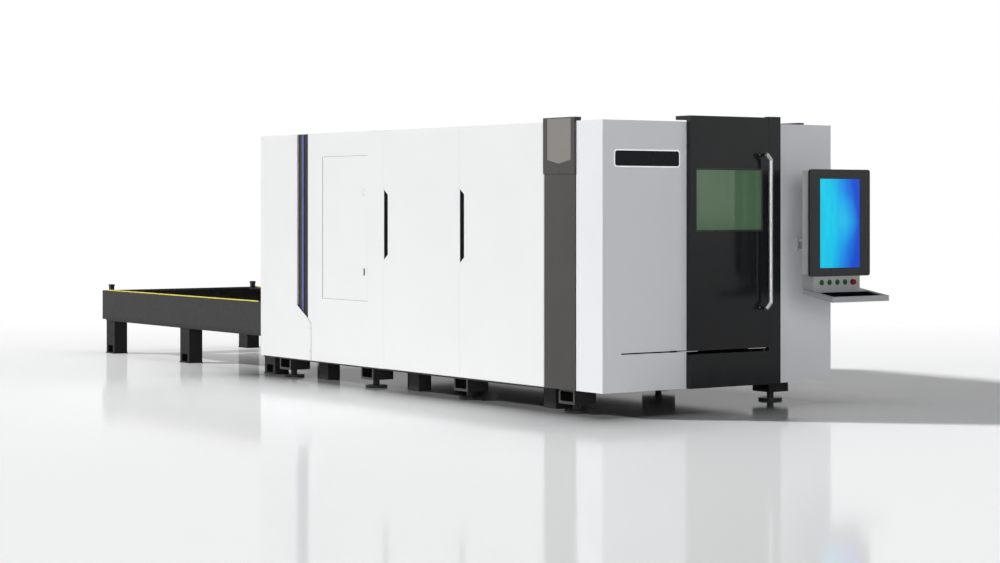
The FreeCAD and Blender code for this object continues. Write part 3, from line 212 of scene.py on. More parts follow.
def surface(name, colour, roughness, metallic=0.0, variation=0.06, patch=1.4, grain=900.0,
            grain_depth=0.0002, stretch=None, wear=0.0, spread=0.07, specular=0.5, foot=None):
    """Paint, metal or moulding: patchy colour and gloss, a fine grain and rubbed edges.

    variation and spread say how far the colour and the roughness stray, patch how many
    patches of colour lie along a metre, grain and grain_depth how fine the relief is and
    how deep in metres, and wear how much of the paler tone shows on rubbed edges.
    The last argument, (height, share), is painted shade low down: below the height the colour
    darkens to its share.
    """
    made, nodes, links, shader = new_material(name)
    broad = noise(nodes, links, patch, 4.0, 0.55)
    tone = mixed_colours(nodes, links, remap(nodes, links, broad, 0, 1),
                         shade(colour, 1 - variation), shade(colour, 1 + variation))
    if wear:
        geometry = nodes.new("ShaderNodeNewGeometry")
        edge = remap(nodes, links, geometry.outputs["Pointiness"], 0, wear,
                     RUBBED_FROM, RUBBED_TO)
        tone = mixed_colours(nodes, links, edge, tone, shade(colour, RUBBED_TONE))
    # Painted shade: the colour darkens towards the bottom of the object
    if foot:
        height, share = foot
        level = split_axes(nodes, links, object_point(nodes))["Z"]
        tone = dimmed(nodes, links, tone,
                      remap(nodes, links, level, share, 1, height * FOOT_FADE, height))
    links.new(tone, shader.inputs["Base Color"])
    gloss = noise(nodes, links, patch * GLOSS_FINENESS, 3.0, 0.6, stretch)
    links.new(remap(nodes, links, gloss, max(0.02, roughness - spread), roughness + spread),
              shader.inputs["Roughness"])
    bump(nodes, links, shader, noise(nodes, links, grain, 2.0, 0.6, stretch), grain_depth)
    shader.inputs["Metallic"].default_value = metallic
    shader.inputs["Specular IOR Level"].default_value = specular
    return made


def screen_material():
    """A lit display: a plain blue wash with a pale side, a glow and faint streaks."""
    made, nodes, links, shader = new_material("lit_display")
    low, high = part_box("screen")
    size = high - low
    # across and up run from 0 to 1 over the screen
    axes = split_axes(nodes, links, scaled_point(nodes, links, (1 / size.x, 1, 1 / size.z),
                                                 (-low.x / size.x, 0, -low.z / size.z)))
    across, up = axes["X"], axes["Z"]
    wash = nodes.new("ShaderNodeValToRGB")
    wash.color_ramp.elements[0].color = (0.006, 0.60, 0.74, 1)
    wash.color_ramp.elements[1].color = (0.006, 0.070, 0.58, 1)
    for where, colour in ((0.45, (0.006, 0.52, 0.78, 1)), (0.80, (0.006, 0.20, 0.74, 1))):
        wash.color_ramp.elements.new(where).color = colour
    # The pale side is widest near half height and narrower above and below
    waist, narrowing = 0.52, 0.36
    from_waist = calculate(nodes, links, "ABSOLUTE",
                           calculate(nodes, links, "SUBTRACT", up, waist))
    links.new(calculate(nodes, links, "MULTIPLY_ADD", from_waist, narrowing, across),
              wash.inputs["Fac"])
    flat = nodes.new("ShaderNodeCombineXYZ")
    links.new(across, flat.inputs["X"])
    links.new(up, flat.inputs["Z"])
    glow_middle, glow_reach, glow_share = (0.62, 0, 0.55), 0.32, 0.75
    from_glow = vector_step(nodes, links, "DISTANCE", flat.outputs["Vector"], glow_middle)
    glow = remap(nodes, links, from_glow, glow_share, 0.0, 0.0, glow_reach)
    lit = mixed_colours(nodes, links, glow, wash.outputs["Color"], (0.02, 0.55, 0.80))
    streaks = remap(nodes, links, noise(nodes, links, 7.0, 2.0, 0.5, (3, 1, 0.5)), 0.0, 0.35)
    lit = mixed_colours(nodes, links, streaks, lit, (0.35, 0.6, 0.85), blend="MULTIPLY")
    links.new(lit, shader.inputs["Base Color"])
    links.new(lit, shader.inputs["Emission Color"])
    shader.inputs["Emission Strength"].default_value = 0.58
    shader.inputs["Roughness"].default_value = 0.12
    shader.inputs["Specular IOR Level"].default_value = 0.2
    return made


def window_material():
    """Green safety glass of the door, a little uneven in tint and flatness."""
    made, nodes, links, shader = new_material("green_safety_glass")
    tint = remap(nodes, links, noise(nodes, links, 1.1, 2.0, 0.5), 0, 1)
    links.new(mixed_colours(nodes, links, tint, (0.13, 0.27, 0.13), (0.20, 0.36, 0.20)),
              shader.inputs["Base Color"])
    bump(nodes, links, shader, noise(nodes, links, 5.0, 1.0, 0.4), 0.0006, 0.25)
    shader.inputs["Transmission Weight"].default_value = 0.35
    shader.inputs["Roughness"].default_value = 0.04
    shader.inputs["IOR"].default_value = 1.5
    return made


def light_strip_material():
    """Dimly lit blue diffuser, a little uneven along its height."""
    made, nodes, links, shader = new_material("strip_diffuser")
    tint = remap(nodes, links, noise(nodes, links, 4.0, 1.0, 0.5, (1, 1, 3)), 0, 1)
    lit = mixed_colours(nodes, links, tint, (0.040, 0.048, 0.17), (0.058, 0.070, 0.23))
    links.new(lit, shader.inputs["Base Color"])
    links.new(lit, shader.inputs["Emission Color"])
    shader.inputs["Emission Strength"].default_value = 0.22
    shader.inputs["Roughness"].default_value = 0.35
    return made


# One material for each slot of the CAD nodes
MATERIALS = {
    "white": surface("white_powder_coat", (0.86, 0.863, 0.866), 0.45, variation=0.010,
                     grain=700, grain_depth=0.00025, specular=0.35),
    "front_grey": surface("silver_white_powder_coat", (0.83, 0.85, 0.88), 0.40,
                          variation=0.015, grain=700, grain_depth=0.00025, specular=0.4),
    "black": surface("gloss_black_paint", (0.0115, 0.0125, 0.0142), 0.14, variation=0.15,
                     grain=500, grain_depth=0.00008, spread=0.04, specular=0.28),
    "column_grey": surface("satin_dark_paint", (0.066, 0.063, 0.060), 0.42, variation=0.07,
                           grain=800, specular=0.2),
    "insert_grey": surface("satin_warm_grey", (0.245, 0.228, 0.214), 0.40, variation=0.05,
                           grain=800, specular=0.2),
    "channel_black": surface("channel_black", (0.025, 0.025, 0.021), 0.40, variation=0.12,
                             specular=0.2),
    "light_blue": light_strip_material(),
    "frame_paint": surface("primer_grey", (0.33, 0.34, 0.35), 0.55, variation=0.08, wear=0.5),
    # The bed's frame gets painted shade below 0.4 m
    "bed_paint": surface("textured_dark_grey", (0.032, 0.032, 0.032), 0.55, variation=0.10,
                         patch=3, grain=420, grain_depth=0.0005, wear=0.35, specular=0.12,
                         foot=(0.40, 0.45)),
    "bollard_black": surface("bollard_moulding", (0.02, 0.02, 0.02), 0.5, variation=0.12,
                             specular=0.2),
    "foot_steel": surface("blackened_steel", (0.015, 0.015, 0.016), 0.42, variation=0.2,
                          wear=0.4, specular=0.15),
    "yellow": surface("warning_yellow", (0.92, 0.78, 0.10), 0.45, variation=0.06, patch=6,
                      specular=0.2),
    "bright_steel": surface("brushed_steel", (0.62, 0.62, 0.63), 0.28, metallic=1.0,
                            variation=0.06, grain=300, stretch=(1, 20, 20)),
    "handle_metal": surface("satin_aluminium", (0.55, 0.55, 0.56), 0.44, metallic=0.8,
                            variation=0.04, grain=260, grain_depth=0.00004,
                            stretch=(20, 20, 1)),
    "slide_nylon": surface("black_nylon", (0.04, 0.04, 0.04), 0.5, variation=0.1),
    "window_glass": window_material(),
    "way_steel": surface("ground_steel", (0.56, 0.57, 0.58), 0.22, metallic=1.0,
                         variation=0.05, grain=240, stretch=(20, 1, 20)),
    "gantry_aluminium": surface("extruded_aluminium", (0.66, 0.665, 0.67), 0.34,
                                metallic=0.9, variation=0.05, grain=200,
                                stretch=(1, 20, 20)),
    "truck_paint": surface("machine_graphite", (0.13, 0.14, 0.15), 0.42, variation=0.1,
                           wear=0.4),
    "head_metal": surface("anodised_head", (0.50, 0.51, 0.53), 0.28, metallic=0.9,
                          variation=0.06),
    "source_paint": surface("unit_grey", (0.50, 0.51, 0.52), 0.5, variation=0.05),
    "drive_paint": surface("motor_enamel", (0.08, 0.12, 0.20), 0.4, variation=0.1, wear=0.4),
    "pallet_paint": surface("pallet_graphite", (0.020, 0.020, 0.022), 0.7, variation=0.2,
                            patch=5, wear=0.6, specular=0.0),
    "slat_steel": surface("slat_mill_steel", (0.022, 0.021, 0.020), 0.7, variation=0.3,
                          patch=9, wear=0.5, specular=0.0),
    "wheel_steel": surface("turned_steel", (0.35, 0.35, 0.35), 0.35, metallic=1.0,
                           variation=0.1),
    "console_grey": surface("console_powder_coat", (0.50, 0.505, 0.52), 0.45,
                            variation=0.04, grain=600, grain_depth=0.0004, specular=0.3),
    "bezel_black": surface("bezel_moulding", (0.030, 0.031, 0.033), 0.34, variation=0.1,
                           specular=0.3),
    "screen_glass": screen_material(),
    "button_green": surface("green_cap", (0.012, 0.155, 0.016), 0.35, variation=0.1,
                            specular=0.1),
    "stop_red": surface("red_cap", (0.34, 0.007, 0.009), 0.35, variation=0.1,
                        specular=0.15),
    "key_black": surface("keyboard_base", (0.006, 0.006, 0.007), 0.6, variation=0.1,
                         specular=0.0),
}
# Near-black matt surface; as painted shade it stands for the shade in the door's track and in
# the open tube ends
UNLIT_CHANNEL = surface("unlit_channel", (0.003, 0.003, 0.003), 0.8, variation=0.2,
                        specular=0.0)
# Nodes that look different from the rest of their slot, some of them by painted light and
# shade
NODE_MATERIALS = {
    # Painted shade: the track in its slot is near-black
    "door_track": UNLIT_CHANNEL,
    "access_latch_lower": MATERIALS["bezel_black"],
    # Painted light: the bracket takes the lighter front paint so that it reads as lit
    "console_bracket": MATERIALS["front_grey"],
    # Painted light: a lighter copy of the console's paint, so that its side in shade reads
    # brighter
    "console_housing": surface("housing_coat_painted_lighter", (0.70, 0.71, 0.71), 0.45,
                               variation=0.03, grain=600, grain_depth=0.0004, specular=0.3),
}
for part in frame["record"]["subparts"]:
    dress = NODE_MATERIALS.get(part["node"], MATERIALS[part["material_slot"]])
    for material_slot in frame["nodes"][part["node"]].material_slots:
        material_slot.material = dress


# ------------------------------------------------------------------ mesh helpers

def add_object(name, data):
    """A new object in the scene."""
    made = bpy.data.objects.new(name, data)
    bpy.context.scene.collection.objects.link(made)
    return made


def piece(name, mesh, body, slot, material=None, smooth=False):
    """Turn a bmesh into an object that rides on a CAD body, in a material slot."""
    data = bpy.data.meshes.new(name)
    bmesh.ops.recalc_face_normals(mesh, faces=mesh.faces)
    mesh.to_mesh(data)
    mesh.free()
    made = add_object(name, data)
    data.materials.append(material or MATERIALS[slot])
    if smooth:
        for face in data.polygons:
            face.use_smooth = True
    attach(made, body)


def rounded_outline(width, height, radius, steps=6):
    """Corners of a rounded rectangle round the origin, anticlockwise."""
    points = []
    for quarter, (side, end) in enumerate(((1, 1), (-1, 1), (-1, -1), (1, -1))):
        middle = Vector((side * (width / 2 - radius), end * (height / 2 - radius)))
        for i in range(steps + 1):
            angle = math.pi / 2 * (quarter + i / steps)
            points.append(middle + radius * Vector((math.cos(angle), math.sin(angle))))
    return points


def add_loft(mesh, rings, around=False):
    """Skin between rings of equal count; the first and last ring get a cap.

    For a frame, around joins the last ring to the first instead.
    """
    made = [[mesh.verts.new(p) for p in ring] for ring in rings]
    count = len(made[0])
    following = made[1:] + made[:1] if around else made[1:]
    for lower, upper in zip(made, following):
        for i in range(count):
            j = (i + 1) % count
            mesh.faces.new((lower[i], lower[j], upper[j], upper[i]))
    if not around:
        mesh.faces.new(list(reversed(made[0])))
        mesh.faces.new(made[-1])


def axes_for(direction):
    """Unit vectors to the right, up and out of a face that looks along direction."""
    out = Vector(direction).normalized()
    up = Vector((0, 0, 1)) if abs(out.z) < 0.9 else Vector((0, 1, 0))
    right = up.cross(out).normalized()
    return right, out.cross(right).normalized(), out


def add_plate(mesh, centre, direction, width, height, thick, radius, edge):
    """Rounded plate with a softened front edge, standing on centre along direction."""
    right, up, out = axes_for(direction)
    corner, least_radius = edge * 0.3, 0.0002
    rings = []
    for depth, inset in ((0, 0), (thick - edge, 0), (thick - corner, corner), (thick, edge)):
        outline = rounded_outline(width - 2 * inset, height - 2 * inset,
                                  max(radius - inset, least_radius))
        rings.append([centre + right * p.x + up * p.y + out * depth for p in outline])
    add_loft(mesh, rings)


def add_turned(mesh, centre, direction, profile, segments=24):
    """Turned solid whose profile is (radius, height along direction) from bottom to top."""
    right, up, out = axes_for(direction)
    turns = [2 * math.pi * i / segments for i in range(segments)]
    add_loft(mesh, [[centre + out * height
                     + radius * (right * math.cos(turn) + up * math.sin(turn))
                     for turn in turns]
                    for radius, height in profile])


def add_screws(mesh, spots, direction, radius):
    """Socket-head screws standing on their spots."""
    head = [(radius * out, radius * height)
            for out, height in ((1, 0), (1, 0.8), (0.85, 1), (0.5, 1), (0.48, 0.4),
                                (0.05, 0.4))]
    for spot in spots:
        add_turned(mesh, spot, direction, head, 12)


def add_ribbon(mesh, points, width, near, far):
    """Upright ribbon along points (back, up) of a side, between two depths in millimetres."""
    rings = []
    for i, (back, up) in enumerate(points):
        before, after = points[max(i - 1, 0)], points[min(i + 1, len(points) - 1)]
        along = Vector((after[0] - before[0], after[1] - before[1])).normalized()
        across = Vector((-along.y, along.x)) * width / 2
        rings.append([place(depth, back + turn * across.x, up + turn * across.y)
                      for depth, turn in ((near, -1), (near, 1), (far, 1), (far, -1))])
    add_loft(mesh, rings)


# ------------------------------------------------------------------ details

def name_plate():
    """Bare black plate with a thin bright rim on the left front panel."""
    middle, rim_thick = place(422.5, 0, 1917), 0.0014
    rim = bmesh.new()
    add_plate(rim, middle, TO_FRONT, width=0.630, height=0.132, thick=rim_thick,
              radius=0.026, edge=0.0004)
    piece("plate_rim", rim, "machine", "bright_steel",
          surface("polished_rim", (0.93, 0.935, 0.94), 0.14, metallic=1.0, variation=0.03,
                  grain_depth=0.00003))
    face = bmesh.new()
    add_plate(face, middle + Vector((0, -rim_thick, 0)), TO_FRONT, width=0.612,
              height=0.114, thick=0.0010, radius=0.019, edge=0.0004)
    piece("plate_face", face, "machine", "black",
          surface("plate_enamel", (0.010, 0.011, 0.013), 0.3, variation=0.1, specular=0.12,
                  grain_depth=0.00002))


def window_gasket():
    """Thin black seal that laps the window's edge and the door round it."""
    low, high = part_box("door_window")
    middle = Vector(((low.x + high.x) / 2, low.y - 0.001, (low.z + high.z) / 2))
    width, height = high.x - low.x, high.z - low.z
    lap_out, lap_in, sunk = -0.010, 0.004, 0.0005
    rings = []
    for inset, out in ((lap_out, 0.0), (lap_out, 0.003), (-0.002, 0.004), (lap_in, 0.002),
                       (lap_in, 0.0)):
        outline = rounded_outline(width - 2 * inset, height - 2 * inset, 0.008)
        rings.append([middle + Vector((p.x, -out + sunk, p.y)) for p in outline])
    mesh = bmesh.new()
    add_loft(mesh, rings, around=True)
    piece("window_gasket", mesh, "front_door", "bezel_black")


def handle_mounts():
    """Black sleeve with a foot ring, and a screw in the ring, at each end of the handle."""
    sleeve = [(0.020, 0), (0.020, 0.004), (0.017, 0.006), (0.0115, 0.007), (0.0115, 0.054),
              (0.0125, 0.056), (0.0125, 0.064)]
    screw = [(0.0036, 0.004), (0.0036, 0.0066), (0.0028, 0.0076), (0.0006, 0.0078)]
    screw_offset = Vector((-0.016, 0, 0))
    handle_right, door_face, handle_ends = 1508, -50, (1956, 776)
    sleeves, screws = bmesh.new(), bmesh.new()
    for level in handle_ends:
        centre = place(handle_right, door_face, level)
        add_turned(sleeves, centre, TO_FRONT, sleeve, 36)
        add_turned(screws, centre + screw_offset, TO_FRONT, screw, 16)
    piece("handle_sleeves", sleeves, "front_door", "black")
    piece("handle_screws", screws, "front_door", "bright_steel")


def console_controls():
    """Rings round the buttons and the stop, the buttons' domes and the stop's mushroom."""
    first_button, button_pitch, stop_right = 1740, 81.3, 2064
    ring = [(0.0155, -0.002), (0.0155, 0.0), (0.021, 0.0), (0.021, 0.004), (0.019, 0.006),
            (0.0155, 0.006), (0.0145, 0.002)]
    dome = [(0.0138, -0.004), (0.0138, 0), (0.0125, 0.0015), (0.008, 0.0024),
            (0.002, 0.0026)]
    dome_offset = Vector((0, -0.0105, 0))
    rings = bmesh.new()
    for i in range(4):
        centre = place(first_button + button_pitch * i, CONTROLS_FRONT, CONTROLS_LEVEL)
        add_turned(rings, centre, TO_FRONT, ring, 40)
        cap = bmesh.new()
        add_turned(cap, centre + dome_offset, TO_FRONT, dome, 40)
        piece(f"button_dome_{i + 1}", cap, f"push_button_{i + 1}", "button_green",
              smooth=True)
    stop = place(stop_right, CONTROLS_FRONT, CONTROLS_LEVEL)
    add_turned(rings, stop, TO_FRONT, [(0.0125, 0), (0.024, 0), (0.024, 0.0010),
                                       (0.020, 0.0017), (0.0125, 0.0017)], 40)
    piece("button_rings", rings, "console", "bezel_black")
    mushroom = bmesh.new()
    add_turned(mushroom, stop, TO_FRONT,
               [(0.0115, 0.0075), (0.0185, 0.0080), (0.0206, 0.010), (0.0206, 0.016),
                (0.0195, 0.0195), (0.015, 0.0225), (0.008, 0.0240), (0.001, 0.0243)], 48)
    piece("stop_mushroom", mushroom, "emergency_stop", "stop_red", smooth=True)


def keyboard_keys():
    """Rows of keycaps on the sloping keyboard, with a space bar in the nearest row."""
    low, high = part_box("keyboard")
    thick, side_margin, end_margin, gap = 0.012, 0.010, 0.007, 0.004
    columns, rows = 18, 6
    bar_column, bar_span = 4, 6
    slope = (high.z - low.z - thick) / (high.y - low.y)
    pitch_x = (high.x - low.x - 2 * side_margin) / columns
    pitch_y = (high.y - low.y - 2 * end_margin) / rows
    keys = bmesh.new()
    for row in range(rows):
        y = low.y + end_margin + (row + 0.5) * pitch_y
        z = high.z - slope * (high.y - y)
        column = 0
        while column < columns:
            span = bar_span if (row, column) == (0, bar_column) else 1
            wide = span * pitch_x
            x = low.x + side_margin + column * pitch_x + wide / 2
            add_plate(keys, Vector((x, y, z)), (0, -slope, 1), width=wide - gap,
                      height=pitch_y - gap, thick=0.0035, radius=0.002, edge=0.001)
            column += span
    piece("keycaps", keys, "console", "key_black",
          surface("keycap_moulding", (0.012, 0.012, 0.014), 0.5, variation=0.12,
                  specular=0.0))


def console_hardware():
    """Bracket screws and the caps on both swing pins of the console's arm."""
    pins_right, pins_top, first_pin, second_pin = 1932, 1305, -66, -322
    bracket_face, screw_offset = -38, 23
    cap = [(0.015, 0), (0.015, 0.003), (0.009, 0.003), (0.009, 0.008), (0.006, 0.011),
           (0.001, 0.012)]
    fixed = bmesh.new()
    add_screws(fixed, [place(pins_right + side * screw_offset, bracket_face, level)
                       for side in (-1, 1) for level in (1240, 1270)], TO_FRONT, 0.005)
    add_turned(fixed, place(pins_right, first_pin, pins_top), UPWARDS, cap)
    piece("bracket_screws", fixed, "machine", "bright_steel")
    turning = bmesh.new()
    add_turned(turning, place(pins_right, second_pin, pins_top), UPWARDS, cap)
    piece("swivel_cap", turning, "console", "bright_steel")


def unit_details():
    """Louvres, door handle and lifting eyes of the units on the deck."""
    source_pitch, cabinet_pitch, eye_margin = 0.052, 0.022, 0.05
    louvres = bmesh.new()
    source_low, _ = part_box("laser_source")
    for i in range(9):
        spot = Vector((source_low.x + 0.09 + i * source_pitch, source_low.y + 0.012,
                       source_low.z + 0.125))
        add_plate(louvres, spot, TO_FRONT, width=0.020, height=0.15, thick=0.006,
                  radius=0.004, edge=0.002)
    low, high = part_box("electrical_cabinet")
    for i in range(10):
        spot = Vector(((low.x + high.x) / 2, low.y, low.z + 0.14 + i * cabinet_pitch))
        add_plate(louvres, spot, TO_FRONT, width=0.30, height=0.010, thick=0.005,
                  radius=0.002, edge=0.002)
    piece("unit_louvres", louvres, "machine", "frame_paint")
    furniture = bmesh.new()
    add_plate(furniture, Vector((high.x - 0.10, low.y, low.z + 0.62)), TO_FRONT,
              width=0.035, height=0.15, thick=0.012, radius=0.008, edge=0.003)
    eye = [(0.014, 0), (0.014, 0.004), (0.006, 0.006), (0.006, 0.012), (0.012, 0.018),
           (0.012, 0.026), (0.001, 0.030)]
    for x in (low.x + eye_margin, high.x - eye_margin):
        add_turned(furniture, Vector((x, low.y + eye_margin, high.z)), UPWARDS, eye, 20)
    piece("unit_furniture", furniture, "machine", "bright_steel")


def gantry_details():
    """Fan cowls on the gantry's motors, and ribs round each."""
    motor_offset, motor_back, motor_top = 815, 2092, 1150
    cowl = [(0.043, -0.10), (0.0445, -0.098), (0.0445, -0.004), (0.041, 0.0), (0.012, 0.0),
            (0.010, -0.004), (0.001, -0.004)]
    rib = [(0.040, 0), (0.0455, 0.0005), (0.0455, 0.006), (0.040, 0.0065)]
    cowls = bmesh.new()
    for side in (-1, 1):
        centre = place(LANE + side * motor_offset, motor_back, motor_top)
        add_turned(cowls, centre, UPWARDS, cowl, 28)
        for level in (-0.16, -0.145, -0.13, -0.115):
            add_turned(cowls, centre + Vector((0, 0, level)), UPWARDS, rib, 28)
    piece("gantry_motor_cowls", cowls, "gantry", "drive_paint")


def head_details():
    """Screws on the carriage, and rings and the copper nozzle on the cutting head."""
    low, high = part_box("cross_carriage")
    margin, face_depth, screw_levels = 0.012, 0.09, (0.93, 0.97, 1.01, 1.05)
    screws = bmesh.new()
    add_screws(screws, [Vector((x, low.y + face_depth, z))
                        for x in (low.x + margin, high.x - margin) for z in screw_levels],
               TO_FRONT, 0.006)
    piece("carriage_screws", screws, "cross_carriage", "bright_steel")
    head_low, head_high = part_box("cutting_head")
    axis = Vector(((head_low.x + head_high.x) / 2, head_low.y + 0.038, 0))
    ring = [(0.0375, 0), (0.0396, 0.001), (0.0396, 0.009), (0.0375, 0.010)]
    rings = bmesh.new()
    for level in (0.86, 0.94, 1.03, 1.12):
        add_turned(rings, axis + Vector((0, 0, level)), UPWARDS, ring, 40)
    piece("head_rings", rings, "cutting_head", "truck_paint")
    tip = bmesh.new()
    add_turned(tip, axis + Vector((0, 0, head_low.z)), UPWARDS,
               [(0.0062, 0.0001), (0.0075, 0.004), (0.0125, 0.010), (0.0135, 0.016),
                (0.0135, 0.022), (0.0120, 0.022)], 32)
    piece("head_nozzle", tip, "cutting_head", "head_metal",
          surface("nozzle_copper", (0.72, 0.36, 0.20), 0.28, metallic=1.0, variation=0.06,
                  grain=300))


def drive_details():
    """Cooling ribs round the exchange motor."""
    first_rib, rib_pitch, motor_back, motor_level = LANE + 90, 24, 4950, 260
    rib = [(0.062, 0), (0.0665, 0.0005), (0.0665, 0.005), (0.062, 0.0055)]
    ribs = bmesh.new()
    for i in range(9):
        centre = place(first_rib + i * rib_pitch, motor_back, motor_level)
        add_turned(ribs, centre, TO_RIGHT, rib, 28)
    piece("exchange_motor_ribs", ribs, "machine", "drive_paint")


def roof_seams():
    """Raised joints across the roof and the round-head screws that hold them."""
    low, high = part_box("roof")
    seam_end, first_screw = 0.025, 0.06
    screw = [(0.006, 0), (0.0055, 0.0015), (0.003, 0.0026), (0.0005, 0.003)]
    seams, screws = bmesh.new(), bmesh.new()
    for back in (1874, 3020, 4266):
        y = FRONT + back / 1000
        add_plate(seams, Vector(((low.x + high.x) / 2, y, high.z)), UPWARDS,
                  width=high.x - low.x - 2 * seam_end, height=0.040, thick=0.0016,
                  radius=0.002, edge=0.0006)
        for x in spaced(low.x + first_screw, high.x - first_screw, 15):
            add_turned(screws, Vector((x, y, high.z + 0.0014)), UPWARDS, screw, 12)
    piece("roof_seams", seams, "machine", "white")
    piece("roof_screws", screws, "machine", "bright_steel")


def rear_wall_screws():
    """Screws along the edges of the rear wall and above the pallet opening."""
    low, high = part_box("rear_wall")
    margin, opening_top, opening_start, opening_span = 0.02, 0.785, 0.14, 1.72
    spots = [Vector((x, high.y, z)) for z in spaced(low.z + 0.04, high.z - 0.04, 12)
             for x in (low.x + margin, high.x - margin)]
    spots += [Vector((x, high.y, high.z - margin))
              for x in spaced(low.x + 0.10, high.x - 0.10, 13)]
    spots += [Vector((low.x + opening_start + along, high.y, opening_top + 0.03))
              for along in spaced(0, opening_span, 13)]
    mesh = bmesh.new()
    add_screws(mesh, spots, TO_REAR, 0.0045)
    piece("rear_wall_screws", mesh, "machine", "bright_steel")


def slot_carriage():
    """Dark roller block that leads the guide through the slot beside the door."""
    mesh = bmesh.new()
    add_plate(mesh, place(668, -3, 465), TO_FRONT, width=0.070, height=0.012, thick=0.004,
              radius=0.001, edge=0.0005)
    piece("guide_roller_block", mesh, "front_door", "slide_nylon", UNLIT_CHANNEL)


def side_seals():
    """Rubber in the sides' joints, and two screws beside the joint below each channel.

    The rubber lies in the joint below the light channel on both sides, and round
    three sides of the access door on the left.
    """
    joint = [(4236.5, 182), (4236.5, 509), (4293.5, 556)]
    door_front, door_rear, door_bottom, door_top = 3282, 4034.6, 743, 1992
    seals = bmesh.new()
    for near, far, lip in ((-0.4, 8, (-0.4, -0.05)),
                           (WIDTH - 8, WIDTH + 0.4, (WIDTH + 0.05, WIDTH + 0.4))):
        add_ribbon(seals, joint, 2.6, near, far)
        add_ribbon(seals, joint, 4.6, *lip)
    for level in (door_bottom, door_top):
        add_ribbon(seals, [(door_front, level), (4030, level)], 1.8, 0.1, 3.5)
    add_ribbon(seals, [(door_rear, door_bottom - 1), (door_rear, door_top + 1)], 5.0,
               -0.6, -0.05)
    piece("side_seals", seals, "machine", "slide_nylon", UNLIT_CHANNEL)
    screw = [(0.007, 0), (0.0065, 0.0015), (0.004, 0.0028), (0.0005, 0.003)]
    screws = bmesh.new()
    for level in (265, 468):
        for right, outwards in ((0, -1), (WIDTH, 1)):
            add_turned(screws, place(right, 4253, level), (outwards, 0, 0), screw, 16)
    piece("joint_screws", screws, "machine", "bright_steel")


def sills():
    """Dark strip that hangs from the turned edge along the foot of each side."""
    column_rear, level, tall, near, far = 730, 173.4, 14.8, 26, 29.5
    mesh = bmesh.new()
    for depths in ((near, far), (WIDTH - far, WIDTH - near)):
        add_ribbon(mesh, [(column_rear, level), (LENGTH, level)], tall, *depths)
    piece("side_sills", mesh, "machine", "channel_black")


def jamb_seal():
    """Brush strip on the jamb that the closed door meets."""
    left, right, front, rear = 1585.5, 1588.2, -49.6, -6
    section = (left, front), (right, front), (right, rear), (left, rear)
    mesh = bmesh.new()
    add_loft(mesh, [[place(across, back, level) for across, back in section]
                    for level in (472, 2210)])
    piece("jamb_brush", mesh, "machine", "black")


def bracket_edges():
    """Painted highlights as bright strips on the front edges of the console's wall bracket,
    and painted shade as dark plates in its pockets.
    """
    low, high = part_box("console_bracket")
    face = FRONT - 0.038
    # Painted highlights: bright strips on the bracket's edges
    strips = bmesh.new()
    for x in (low.x + 0.004, high.x - 0.004):
        add_plate(strips, Vector((x, face, (low.z + high.z) / 2)), TO_FRONT, width=0.007,
                  height=high.z - low.z - 0.004, thick=0.003, radius=0.001, edge=0.001)
    piece("bracket_edges", strips, "machine", "bright_steel")
    # Painted shade: dark plates near the bracket's top and bottom
    pocket_shades = bmesh.new()
    for z in (low.z + 0.011, high.z - 0.011):
        add_plate(pocket_shades, Vector((low.x + 0.038, face, z)), TO_FRONT, width=0.034,
                  height=0.013, thick=0.002, radius=0.002, edge=0.0005)
    piece("bracket_pocket_shades", pocket_shades, "machine", "slide_nylon")


def tube_ends():
    """Rims round the stub tubes' mouths, painted lighter as painted light on lit end faces,
    and near-black plates a little inside the mouths and the legs' windows as painted shade.
    """
    tube_wide, tube_high, tube_level, tube_mouth_shade_depth = 0.200, 0.115, 126.5, 0.008
    window_middle, window_level, window_shade_depth = 97.5, 50.5, 0.006
    # (inset, corner radius, height over the mouth) round the rim's section
    section = ((0, 0.006, 0), (0.001, 0.006, 0.001), (0.019, 0.010, 0.001),
               (0.020, 0.010, 0))
    rims, mouth_shades = bmesh.new(), bmesh.new()
    for mouth, outwards in ((30, -1), (2182, 1)):
        for back in TUBE_ROWS:
            centre = place(mouth, back, tube_level)
            right, up, out = axes_for((outwards, 0, 0))
            add_loft(rims, [[centre + right * p.x + up * p.y + out * height
                             for p in rounded_outline(tube_wide - 2 * inset,
                                                      tube_high - 2 * inset, radius)]
                            for inset, radius, height in section], around=True)
            # Painted shade: a near-black plate a little inside the open tube
            add_plate(mouth_shades, centre - out * tube_mouth_shade_depth, out, width=0.159,
                      height=0.074, thick=0.002, radius=0.004, edge=0.0005)
    # Painted light: the rims are lighter than the bed's paint
    piece("tube_rims", rims, "machine", "bed_paint",
          surface("rim_paint_painted_lighter", (0.062, 0.062, 0.062), 0.5, variation=0.12, patch=6,
                  specular=0.15))
    # Painted shade inside the legs' windows
    for window, outwards in ((118, -1), (1844, 1)):
        for back in TABLE_LEG_ROWS:
            centre = (place(window, back + window_middle, window_level)
                      - Vector((outwards * window_shade_depth, 0, 0)))
            add_plate(mouth_shades, centre, (outwards, 0, 0), width=0.114, height=0.072,
                      thick=0.002, radius=0.002, edge=0.0005)
    piece("tube_mouth_shades", mouth_shades, "machine", "slide_nylon", UNLIT_CHANNEL)


name_plate()
window_gasket()
handle_mounts()
console_controls()
keyboard_keys()
console_hardware()
unit_details()
gantry_details()
head_details()
drive_details()
roof_seams()
rear_wall_screws()
slot_carriage()
side_seals()
sills()
jamb_seal()
bracket_edges()
tube_ends()


# ------------------------------------------------------------------ stage

